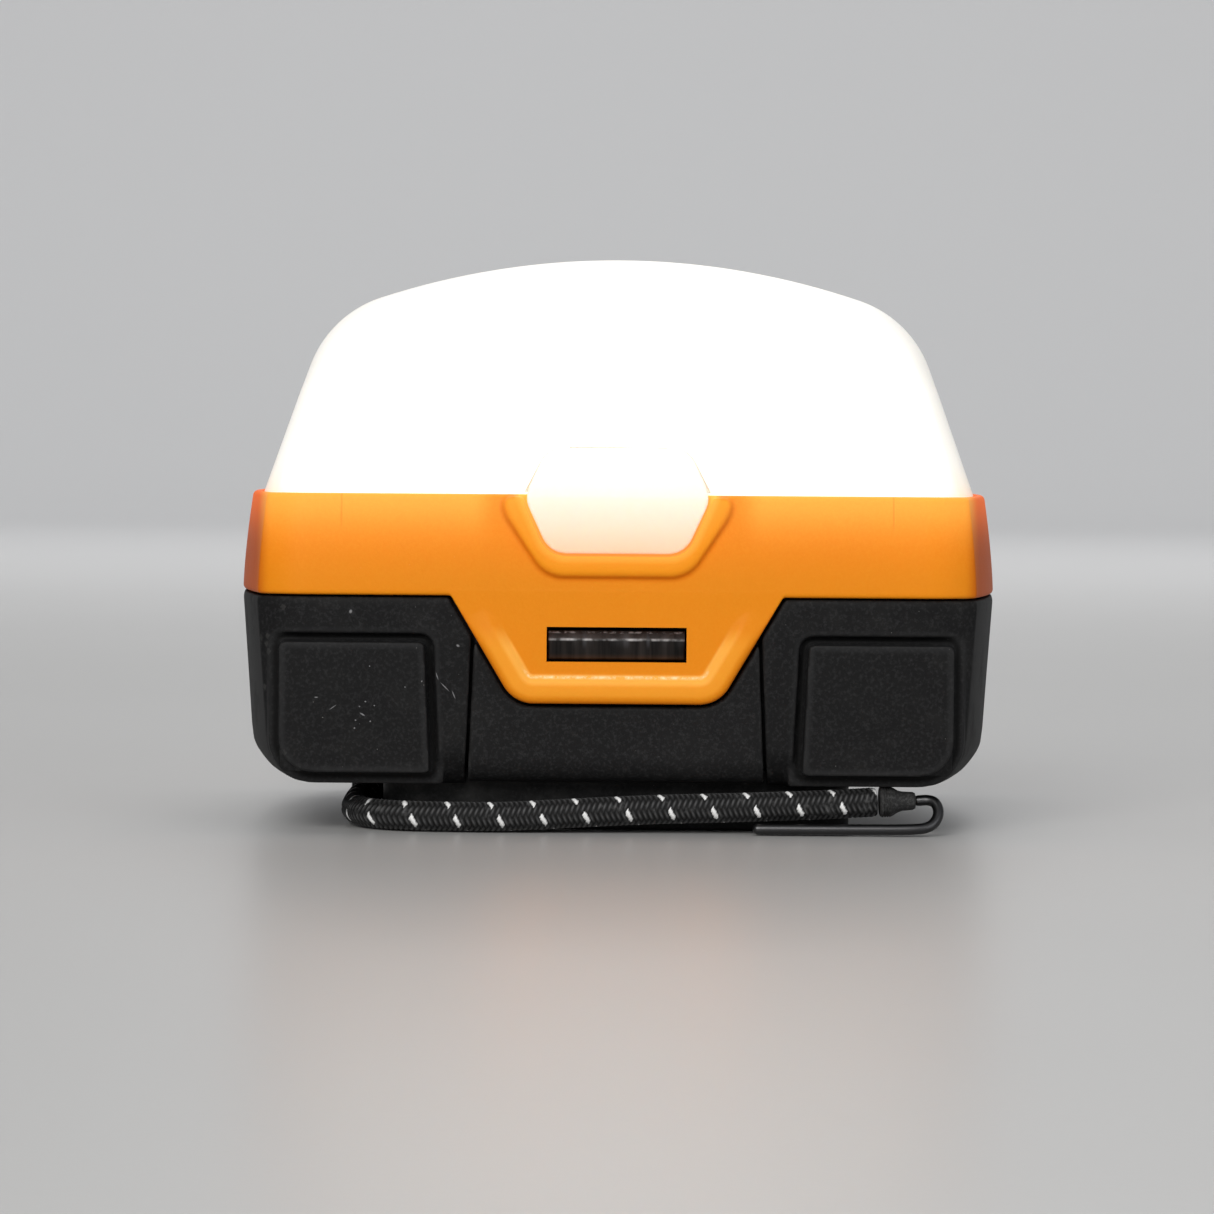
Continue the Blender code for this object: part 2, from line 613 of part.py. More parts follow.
def make_head_inside():
    """Gasket, chassis, boards, lights, screws and contact pins of the head."""
    gasket = [ring(z, inset) for inset, z in [(2.4, 31.8), (3.8, 31.8), (3.8, 32.5), (2.4, 32.5)]]
    store("dome_gasket", loft(gasket, closed=True), plastic("dome_gasket", (0.08, 0.08, 0.08), 0.7))
    chassis = store("chassis_plate", loft([ring(CHASSIS_LOW, 2.3), ring(CHASSIS_HIGH, 2.3)]),
                    plastic("chassis_plate", (0.75, 0.75, 0.73), 0.5))
    for x, y in CHASSIS_SCREWS:
        boolean(chassis, rod(1.1, (x, y, CHASSIS_LOW - 0.5), (x, y, CHASSIS_HIGH + 0.5), 12))
    for x, y in BOARD_SCREWS:
        boolean(chassis, rod(2.4, (x, y, CHASSIS_HIGH - 0.5), (x, y, LED_BOARD_LOW - GAP)), "UNION")
        boolean(chassis, rod(SCREW_TAP, (x, y, 30.6), (x, y, LED_BOARD_LOW + 0.4), 12))
    driver = store("driver_board", block((-22, -15, DRIVER_LOW), (22, 15, DRIVER_HIGH)),
                   plastic("driver_board", (0.04, 0.2, 0.1), 0.5))
    for x, y, size in [(-12, -4, 6), (4, 6, 5), (13, -7, 4)]:
        chip = block((x, y, DRIVER_HIGH - GAP), (x + size, y + size, LED_BOARD_LOW - 0.4))
        boolean(driver, chip, "UNION")
    board_ring = outline(33.0, 18.5, 55.0, 6.0)
    board = loft([[(x, y, z) for x, y in board_ring] for z in (LED_BOARD_LOW, LED_BOARD_HIGH)])
    board = store("led_board", board, plastic("led_board", (0.85, 0.86, 0.84), 0.4))
    sheet = loft([[(x, y, z) for x, y in board_ring] for z in (SHEET_LOW, SHEET_HIGH)])
    sheet = store("reflector_sheet", sheet, plastic("reflector_sheet", (0.92, 0.92, 0.9), 0.3))
    for x, y in BOARD_SCREWS:
        boolean(board, rod(1.1, (x, y, LED_BOARD_LOW - 0.6), (x, y, LED_BOARD_HIGH + 0.5), 12))
        boolean(sheet, rod(2.3, (x, y, SHEET_LOW - 0.2), (x, y, SHEET_HIGH + 0.3), 12))
    steel = plastic("screw_steel", (0.6, 0.6, 0.58), 0.3, 1.0)
    for number, (x, y) in enumerate(BOARD_SCREWS, 1):
        profile = [(0.0, 35.2), (1.6, 35.2), (1.9, 34.9), (1.9, SHEET_LOW), (SCREW_SHANK, SHEET_LOW),
                   (SCREW_SHANK, 31.4), (0.0, 30.9)]
        turned(f"led_board_screw_{number}", profile, steel, (x, y, 0.0), steps=12)
    for number, (x, y) in enumerate(CHASSIS_SCREWS, 1):
        screw(f"chassis_screw_{number}", (x, y), 1.7, CHASSIS_LOW - 1.5, CHASSIS_LOW - GAP, 31.0, steel)
    for number, (x, y) in enumerate(LED_PLACES, 1):
        reach = LED_HALF + 0.45
        hole = block((x - reach, y - reach, SHEET_LOW - 0.2), (x + reach, y + reach, SHEET_HIGH + 0.3))
        boolean(sheet, hole)
        package = block((x - LED_HALF, y - LED_HALF, SHEET_LOW), (x + LED_HALF, y + LED_HALF, LED_HIGH))
        light = store(f"led_{number}", package,
                      plastic(f"led_{number}", (1.0, 0.85, 0.5), 0.3, 0.0, 4.0))
        bevel(light, 0.3, 1)
    for side, name in ((-1, "contact_pin_left"), (1, "contact_pin_right")):
        profile = [(0.0, 28.2), (1.5, 28.2), (1.5, 22.0), (0.8, 21.8), (0.8, 20.7), (0.5, 20.4), (0.0, 20.4)]
        turned(name, profile, plastic(name, (0.83, 0.65, 0.3), 0.25, 1.0), (side * PIN_X, 0.0, 0.0), steps=12)


# ---------------------------------------------------------------- base

def panel_half(z):
    """Half-width of the central panel at height z."""
    share = (BASE_TOP - z) / (BASE_TOP - BUMPER_BOTTOM)
    return PANEL_HALF_TOP + (PANEL_HALF_BOTTOM - PANEL_HALF_TOP) * share


def make_panel_solid():
    """Front central panel with a rounded lower edge, to be joined to the tub."""
    low = BUMPER_BOTTOM + 0.3
    corners = [(-panel_half(low), low), (panel_half(low), low), (panel_half(BASE_TOP), BASE_TOP),
               (-panel_half(BASE_TOP), BASE_TOP)]
    bm = prism_y(corners, PANEL_FACE, 23.7)
    shave(bm, (0.0, -PANEL_FACE, low + 1.4), Vector((0.0, -0.5, -0.87)))
    return shave(bm, (0.0, -PANEL_FACE, low + 3.2), Vector((0.0, -0.93, -0.37)))


def make_tongue_pocket(back):
    """Space for the front tongue in the base."""
    return prism_y(tongue_path(COLLAR_BOTTOM + 0.5, GAP), LIP_FACE + 1.5, back)


def make_tub():
    """Battery tub: walls, floor, spigot with its seal groove, panels, screw bosses and cell bay."""
    sections = [
        (5.6, TUB_BOTTOM), (3.9, 7.3), (3.3, TUB_FLOOR), (2.2, BASE_TOP), (2.5, BASE_TOP), (2.5, 24.9),
        (3.4, 24.9), (3.4, 25.9), (2.5, 25.9), (2.5, SPIGOT_TOP), (4.2, SPIGOT_TOP), (4.6, TUB_FLOOR),
    ]
    tub = store("base_tub", loft([ring(z, inset) for inset, z in sections]),
                plastic("base_tub", (0.022, 0.022, 0.024), 0.42))
    panel = make_panel_solid()
    boolean(tub, mirrored_y(panel), "UNION")
    boolean(tub, panel, "UNION")
    pocket = make_tongue_pocket(25.5)
    slot = block((-CATCH_HALF - GAP, -28, CATCH_LOW - GAP), (CATCH_HALF + GAP, -22.5, CATCH_HIGH + GAP))
    rib = block((-3.5, -CATCH_RIB_FRONT, TUB_FLOOR - 0.5), (3.5, -CATCH_RIB_BACK, 22.0))
    spring_pocket = rod(CATCH_POCKET_RADIUS, (0, -CATCH_RIB_FRONT - 1, CATCH_SPRING_Z),
                        (0, -CATCH_POCKET_BACK, CATCH_SPRING_Z), 24)
    for solid in (pocket, slot):
        boolean(tub, mirrored_y(solid))
        boolean(tub, solid)
    boolean(tub, mirrored_y(rib), "UNION")
    boolean(tub, rib, "UNION")
    boolean(tub, mirrored_y(spring_pocket))
    boolean(tub, spring_pocket)
    for side in (-1, 1):
        low, high = sorted((side * (CELL_PLATE_X + 0.7), side * (CELL_PLATE_X + 2.2)))
        boolean(tub, block((low, -16.0, TUB_FLOOR - 0.5), (high, 16.0, 19.3)), "UNION")
    for x, y in FOOT_SCREWS:
        boolean(tub, rod(2.3, (x, y, TUB_FLOOR - 0.5), (x, y, 13.0)), "UNION")
        boolean(tub, rod(SCREW_TAP, (x, y, TUB_BOTTOM - 1), (x, y, 12.5), 12))


def make_pad_solid(side):
    """Raised pad of a front bumper, flat in front, with a rounded lower outer corner."""
    corner = rounded([(-PAD_OUTER, PAD_HIGH - 2), (-PAD_OUTER, PAD_LOW), (-PAD_INNER_LOW - 2, PAD_LOW)],
                     PAD_CORNER, closed=False)
    points = corner + [(-PAD_INNER_LOW, PAD_LOW), (-PAD_INNER_TOP, PAD_HIGH), (-PAD_OUTER, PAD_HIGH)]
    return prism_y([(-side * x, z) for x, z in points], PAD_FACE, 24.0)


def make_bumper(name, side):
    """Rubber boot round one end of the base, with a pad in front and one behind."""
    sections = [
        (BUMPER_BOTTOM, 5.6, 4.8), (5.1, 4.1, 3.5), (5.9, 2.9, 2.4), (6.9, 2.1, 1.5), (8.2, 1.2, 0.8),
        (16.0, 0.65, 0.6), (BASE_TOP, 0.1, 0.5),
    ]
    bumper = store(name, loft([ring(*section) for section in sections]),
                   plastic(name, (0.018, 0.018, 0.02), 0.7))
    pad = make_pad_solid(side)
    boolean(bumper, mirrored_y(pad), "UNION")
    boolean(bumper, pad, "UNION")
    room = [(5.3, TUB_BOTTOM - GAP), (3.6, 7.1), (3.0, TUB_FLOOR - 0.1), (1.9, BASE_TOP + 0.5)]
    boolean(bumper, loft([ring(z, inset) for inset, z in room]))
    mouth = outline(31.0, 22.0, 60.0, 4.0)
    boolean(bumper, loft([[(x, y, z) for x, y in mouth] for z in (BUMPER_BOTTOM - 1, TUB_BOTTOM)]))
    seam_low = panel_half(BUMPER_BOTTOM - 1) + GAP
    seam_high = panel_half(BASE_TOP + 1) + GAP
    far = HALF_WIDTH + 2
    away = [(side * seam_low, BUMPER_BOTTOM - 1), (-side * far, BUMPER_BOTTOM - 1),
            (-side * far, BASE_TOP + 1), (side * seam_high, BASE_TOP + 1)]
    boolean(bumper, prism_y(away, HALF_DEPTH + 2, -HALF_DEPTH - 2))
    pocket = make_tongue_pocket(25.0)
    boolean(bumper, mirrored_y(pocket))
    boolean(bumper, pocket)


def make_foot():
    """Foot with a magnet pocket, four counterbored screw holes and a bracket behind the cord's anchor."""
    flat = outline(FOOT_HALF_WIDTH, FOOT_HALF_DEPTH, FOOT_SIDE_RADIUS, FOOT_CORNER)
    small = outline(FOOT_HALF_WIDTH - FOOT_CHAMFER, FOOT_HALF_DEPTH - FOOT_CHAMFER,
                    FOOT_SIDE_RADIUS - FOOT_CHAMFER, FOOT_CORNER - FOOT_CHAMFER)
    rings = [[(x, y, 0.0) for x, y in small]]
    rings += [[(x, y, z) for x, y in flat] for z in (FOOT_CHAMFER, FOOT_TOP)]
    foot = store("foot_plate", loft(rings), plastic("foot_plate", (0.02, 0.02, 0.022), 0.5))
    boolean(foot, block(*CORD_BRACKET), "UNION")
    boolean(foot, rod(9.3, (0, 0, 1.2), (0, 0, FOOT_TOP + 1), 32))
    steel = plastic("foot_screw_steel", (0.55, 0.55, 0.54), 0.32, 1.0)
    for number, (x, y) in enumerate(FOOT_SCREWS, 1):
        boolean(foot, rod(2.2, (x, y, -1), (x, y, 2.2)))
        boolean(foot, rod(1.1, (x, y, 1), (x, y, FOOT_TOP + 1), 12))
        screw(f"foot_screw_{number}", (x, y), 1.8, 0.7, 1.9, 11.5, steel)
    magnet = store("foot_magnet", rod(9.0, (0, 0, 1.5), (0, 0, 5.5), 32),
                   plastic("foot_magnet", (0.5, 0.5, 0.52), 0.3, 1.0))
    bevel(magnet, 0.3, 1)


def make_cells():
    """Three AAA cells in turn about, with a spring at each minus end and a plate at each end of the bay."""
    for number, row in enumerate((-1, 0, 1), 1):
        facing = 1 if row == 0 else -1
        plus_x = facing * (CELL_PLATE_X - GAP)
        radius = CELL_RADIUS
        profile = [(0.0, 0.0), (1.9, 0.0), (1.9, -1.0), (radius - 0.5, -1.0), (radius, -1.4),
                   (radius, -CELL_LENGTH + 0.4), (radius - 0.4, -CELL_LENGTH), (0.0, -CELL_LENGTH)]
        turned(f"battery_{number}", profile, plastic(f"battery_{number}", (0.2, 0.22, 0.25), 0.3, 0.4),
               (plus_x, row * CELL_PITCH, CELL_Z), (0.0, facing * math.pi / 2, 0.0), steps=18)
        minus_x = plus_x - facing * CELL_LENGTH
        reach = CELL_PLATE_X - abs(minus_x) - 2 * GAP - 0.6
        first_x = minus_x - facing * (GAP + 0.3)
        path = [Vector((first_x - facing * point.z, row * CELL_PITCH + point.x, CELL_Z + point.y))
                for point in coil_points(1.8, 3.4, reach, 3)]
        steel = plastic(f"battery_spring_{number}", (0.7, 0.68, 0.62), 0.25, 1.0)
        tube(f"battery_spring_{number}", path, 0.6, steel)
    for side, name in ((-1, "contact_plate_left"), (1, "contact_plate_right")):
        near = side * CELL_PLATE_X
        far = side * (CELL_PLATE_X + 0.4)
        tab = side * 33.0
        corners = [(near, 9.3), (near, 20.1), (tab, 20.1), (tab, 19.7), (far, 19.7), (far, 9.3)]
        store(name, prism_y(corners, 15.0, -15.0), plastic(name, (0.72, 0.7, 0.64), 0.28, 1.0))


def make_catches():
    """Two sprung catches whose noses show in the tongues' windows."""
    for side, name in ((-1, "front"), (1, "rear")):
        nose = block((-CATCH_HALF, -CATCH_NOSE, CATCH_LOW),
                     (CATCH_HALF, -CATCH_FLANGE_FRONT + 0.2, CATCH_HIGH))
        shave(nose, (0.0, -CATCH_NOSE, CATCH_LOW + CATCH_SLOPE), Vector((0.0, -0.82, 0.57)))
        flange = block((-CATCH_FLANGE_HALF, -CATCH_FLANGE_FRONT, CATCH_FLANGE_LOW),
                       (CATCH_FLANGE_HALF, -CATCH_FLANGE_BACK, CATCH_FLANGE_HIGH))
        if side > 0:
            nose = mirrored_y(nose)
            flange = mirrored_y(flange)
        origin = (0.0, side * CATCH_FLANGE_BACK, (CATCH_LOW + CATCH_HIGH) / 2)
        black = plastic(f"release_catch_{name}", (0.03, 0.03, 0.032), 0.3)
        catch = store(f"release_catch_{name}", nose, black, origin)
        boolean(catch, flange, "UNION")
        start = CATCH_FLANGE_BACK - GAP - 0.25
        length = start - CATCH_RIB_FRONT - GAP - 0.25
        path = [Vector((point.x, side * (start - point.z), CATCH_SPRING_Z + point.y))
                for point in coil_points(1.7, 1.7, length, 3)]
        steel = plastic(f"catch_spring_{name}", (0.6, 0.6, 0.6), 0.25, 1.0)
        tube(f"catch_spring_{name}", path, 0.5, steel, origin)


def make_cord():
    """Elastic cord from its anchor along the front of the foot, with a crimp and a wire hook."""
    black = plastic("cord_anchor", (0.03, 0.03, 0.03), 0.5)
    profile = [(0.0, 0.0), (1.75, 0.0), (2.0, -0.5), (2.0, -4.5), (1.5, -5.0), (0.0, -5.0)]
    place = Vector(CORD_ROUTE[0]) + Vector((0.0, GAP, 0.0))
    turned("cord_anchor", profile, black, place, (math.pi / 2, 0.0, 0.0), steps=16)
    tube("cord", smooth_path(CORD_ROUTE, 2.4), CORD_DIAMETER, plastic("cord", (0.03, 0.03, 0.032), 0.8))
    end = Vector(CORD_ROUTE[-1])
    heading = (end - Vector(CORD_ROUTE[-2])).normalized()
    crimp_start = end + heading * GAP
    crimp_end = Vector(HOOK_ROUTE[0]) - heading * GAP
    length = (crimp_end - crimp_start).length
    profile = [(0.0, length), (0.75, length), (0.95, length - 0.3), (1.6, 0.9), (1.6, 0.25), (1.35, 0.0),
               (0.0, 0.0)]
    crimp = turned("cord_crimp", profile, plastic("cord_crimp", (0.03, 0.03, 0.03), 0.45), tuple(crimp_start),
                   steps=16)
    crimp.rotation_euler = (crimp_end - crimp_start).to_track_quat("Z", "Y").to_euler()
    wire = plastic("cord_hook", (0.05, 0.05, 0.05), 0.35, 0.9)
    tube("cord_hook", smooth_path(HOOK_ROUTE, 1.1), HOOK_WIRE, wire)


def make_base_gasket():
    """Seal in the groove of the tub's spigot."""
    sections = [(2.2, 25.1), (2.2, 25.7), (3.2, 25.7), (3.2, 25.1)]
    bm = loft([ring(z, inset) for inset, z in sections], closed=True)
    store("base_gasket", bm, plastic("base_gasket", (0.25, 0.05, 0.04), 0.65))


def main():
    """Clear the scene and build the lantern."""
    for item in list(bpy.data.objects):
        bpy.data.objects.remove(item, do_unlink=True)
    bpy.context.scene.collection.children.link(parts)
    bpy.context.scene.collection.children.link(cutters)
    make_dome()
    make_collar()
    make_button()
    make_switch()
    make_head_inside()
    make_tub()
    make_bumper("bumper_left", -1)
    make_bumper("bumper_right", 1)
    make_base_gasket()
    make_foot()
    make_cells()
    make_catches()
    make_cord()


main()
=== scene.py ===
"""Looks of a compact camping lantern: fine moulded shells, rubber bumpers, braided cord and a lit dome."""
import math

import bmesh
import bpy
import numpy as np
from mathutils import Matrix, Quaternion, Vector


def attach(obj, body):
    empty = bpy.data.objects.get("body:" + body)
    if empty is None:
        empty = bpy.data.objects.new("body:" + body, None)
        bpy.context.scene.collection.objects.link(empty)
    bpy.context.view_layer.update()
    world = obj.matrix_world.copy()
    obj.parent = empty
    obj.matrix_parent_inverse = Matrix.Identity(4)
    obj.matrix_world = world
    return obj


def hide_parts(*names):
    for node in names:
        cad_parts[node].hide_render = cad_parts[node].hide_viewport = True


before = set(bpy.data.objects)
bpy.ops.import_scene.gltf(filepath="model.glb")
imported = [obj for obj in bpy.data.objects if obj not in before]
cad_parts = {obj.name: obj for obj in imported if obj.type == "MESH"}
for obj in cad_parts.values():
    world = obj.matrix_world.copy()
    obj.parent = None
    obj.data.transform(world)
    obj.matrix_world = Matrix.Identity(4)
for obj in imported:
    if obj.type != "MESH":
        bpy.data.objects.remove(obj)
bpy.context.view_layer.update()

MM = 0.001
GAP = 0.3

# ---------------------------------------------------------------- sizes in millimetres, as in the frame

HALF_WIDTH = 40.0
HALF_DEPTH = 27.7
SIDE_RADIUS = 100.0
CORNER_RADIUS = 8.0
CORNER_TURN_DEG = 42.0
CORNER_STEPS = 14
SIDE_STEPS = 22
FRONT_STEPS = 16
TUB_BOTTOM = 6.5
TUB_FLOOR = 8.5
BASE_TOP = 24.0
SPIGOT_TOP = 26.8
COLLAR_BOTTOM = 24.2
COLLAR_TOP = 34.5
LEDGE_BOTTOM = 30.3
LEDGE_TOP = 31.6
DOME_FOOT = 32.7
DOME_WALL = 1.6
DOME_INSET = 2.3
DOME_APEX = 59.25
DOME_TAPER_DEG = 19.5
DOME_TOP_RADIUS = 80.0
DOME_FILLET = 11.7
DOME_DEPTH_TAPER = 0.85
DOME_CORNER = 3.5
DOME_CORNER_GROWTH = 9.0
DOME_PLAN_SIDE = 2.6
TONGUE_TOP_HALF = 16.85
TONGUE_BOTTOM = 13.3
TONGUE_BOTTOM_HALF = 10.4
TONGUE_CORNER = 3.5
TONGUE_FACE = 27.6
TONGUE_BACK = 25.8
LIP_FACE = 28.2
LIP_WIDTH = 3.0
LIP_TOP = 22.4
LIP_FADE = 5.0
WINDOW_HALF = 7.1
WINDOW_LOW = 17.55
WINDOW_HIGH = 21.1
RELIEF_FACE = 26.8
BUTTON_CORNERS = [(6.8, 28.6), (9.42, 34.25), (7.1, 39.2), (-7.1, 39.2), (-9.42, 34.25), (-6.8, 28.6)]
BUTTON_ROUND = 2.6
BUTTON_LOW = 28.6
BUTTON_CREASE = 34.3
BUTTON_FACE_LOW = 27.9
BUTTON_FACE_CREASE = 27.5
BUTTON_LEAN = 0.36
BUTTON_BACK = 27.0
BUTTON_BOSS_LOW = 34.95
BUTTON_BOSS_BACK = 24.6
BUTTON_SKIRT_END = 23.2
BUTTON_SKIRT = 0.6
BUTTON_STEM_END = 24.1
BUTTON_RECESS = 26.2
SWITCH_Z = 36.8
DOME_OPENING_LOW = 34.65
OPENING_GAP = 0.12
RIM_LOW = 26.0
RIM_HIGH = 34.35
RIM_CORNERS = [
    (-10.6, RIM_HIGH), (-11.9, RIM_HIGH), (-11.6, 32.4), (-7.3, RIM_LOW),
    (7.3, RIM_LOW), (11.6, 32.4), (11.9, RIM_HIGH), (10.6, RIM_HIGH),
]
RIM_ROUNDS = [0.0, 1.0, 3.0, 3.6, 3.6, 3.0, 1.0, 0.0]
RIM_PROUD = 0.72
PANEL_FACE = 26.8
PANEL_HALF_TOP = 14.3
PANEL_HALF_BOTTOM = 15.1
PANEL_ROUND = 2.6
PANEL_ROUND_STEPS = 8
BUMPER_BOTTOM = 4.8
PAD_FACE = 28.0
PAD_INNER_TOP = 19.5
PAD_INNER_LOW = 18.9
PAD_OUTER = 34.2
PAD_LOW = 6.2
PAD_HIGH = 19.4
PAD_CORNER = 3.4
GROOVE_WIDTH = 0.85
GROOVE_FACE = 26.1
CATCH_HALF = 6.85
CATCH_LOW = 17.95
CATCH_HIGH = 20.6
CATCH_NOSE = 26.6
CATCH_FLANGE_FRONT = 23.2
CATCH_RIB_FRONT = 18.2
CATCH_RIB_BACK = 16.7
CATCH_POCKET_BACK = 17.1
CATCH_SPRING_Z = 19.3
CATCH_FLANGE_BACK = 22.2
CATCH_FLANGE_HALF = 8.5
CATCH_FLANGE_LOW = 16.8
CATCH_FLANGE_HIGH = 21.8
CATCH_CREASE = 19.8
SMEARS = [(-3.25, 0.35), (0.97, 0.45), (3.2, 0.3)]
CELL_PLATE_X = 24.7
FOOT_HALF_WIDTH = 24.5
FOOT_HALF_DEPTH = 21.5
FOOT_CORNER = 3.2
FOOT_SIDE_RADIUS = 400.0
FOOT_TOP = 6.2
CORD_BRACKET = [(-28.6, 10.3, 0.4), (-23.5, 12.0, 4.4)]
MAGNET_POCKET_RADIUS = 9.3
MAGNET_POCKET_FLOOR = 1.2
SCREW_BORE = 0.95
FOOT_SCREWS = [(21.0, 18.8), (-21.0, 18.8), (-21.0, -18.8), (21.0, -18.8)]
CHASSIS_SCREWS = [(20.0, 23.95), (-20.0, 23.95), (-20.0, -23.95), (20.0, -23.95)]

CORD_DIAMETER = 3.1
CORD_ROUTE = [
    (-26.9, 4.7, 2.3), (-27.0, 0.0, 2.05), (-27.2, -6.0, 1.8), (-27.2, -12.0, 1.65), (-26.9, -17.0, 1.6),
    (-25.3, -21.8, 1.6), (-21.6, -24.6, 1.6), (-16.0, -25.4, 1.6), (-11.0, -25.5, 1.65), (-3.0, -25.5, 2.1),
    (4.0, -25.4, 2.45), (12.0, -25.3, 2.7), (18.7, -25.2, 2.95), (23.0, -25.0, 3.15), (26.6, -24.7, 3.35),
]
HOOK_WIRE = 1.1
HOOK_ROUTE = [
    (30.9, -24.5, 3.5), (31.9, -24.6, 3.55), (32.6, -25.0, 3.3), (32.9, -25.6, 2.5), (32.6, -26.2, 1.6),
    (31.7, -26.7, 0.95), (30.0, -26.9, 0.75), (26.0, -26.95, 0.7), (21.0, -26.95, 0.68), (14.5, -26.9, 0.66),
]

# Lint and scuffs on the left bumper: x, z, half length, half width and angle of each.
LINT = [
    (-25.7, 12.1, 0.30, 0.08, -30.0), (-25.4, 13.4, 0.09, 0.08, 0.0), (-26.0, 12.9, 0.08, 0.06, 0.0),
    (-24.5, 13.0, 0.08, 0.07, 0.0), (-24.9, 11.4, 0.09, 0.08, 40.0), (-26.4, 11.5, 0.09, 0.07, 0.0),
    (-26.5, 10.7, 0.09, 0.09, 0.0), (-28.7, 12.8, 0.42, 0.04, 35.0), (-30.4, 13.8, 0.20, 0.06, 0.0),
    (-25.0, 17.0, 0.07, 0.07, 0.0), (-21.4, 14.9, 0.07, 0.06, 0.0), (-19.7, 15.5, 0.09, 0.07, 60.0),
    (-27.0, 22.5, 0.20, 0.15, 70.0), (-16.1, 19.1, 0.18, 0.12, -30.0), (-17.4, 14.9, 0.60, 0.05, -45.0),
    (-16.5, 14.1, 0.45, 0.05, -68.0), (-18.2, 16.0, 0.40, 0.05, -72.0),
]

# Painted highlight bands at the pad's edge and the groove's outer edge, and a painted shade band in the
# groove, by their distance outwards from the pad's edge: middle, half width, share, colour.
PAD_LIGHT_AND_SHADE_BANDS = [
    (-0.3, 0.6, 0.38, (0.030, 0.030, 0.031)), (GROOVE_WIDTH + 0.3, 0.5, 0.32, (0.030, 0.030, 0.031)),
    (0.45, 0.45, 0.85, (0.0015, 0.0015, 0.0015)),
]

# Braid of the cord: yarns of each hand, length of one turn, and the white tracer's place round the cord.
YARNS = 8
BRAID_LEAD = 4.35
BRAID_RELIEF = 0.2
TRACER_HALF_WIDTH = 0.44
TRACER_TURN = 0.68
TRACER_SHIFT = 3.8

BEAD_ROWS = 110
BEAD_BURIED = 0.9
CORD_FACETS = 72
CORD_ROW = 0.085
WIRE_FACETS = 24
WIRE_CAP_STEPS = 5
TURNED_FACETS = 48
NOT_NEAR = 9.0


# ---------------------------------------------------------------- node helpers

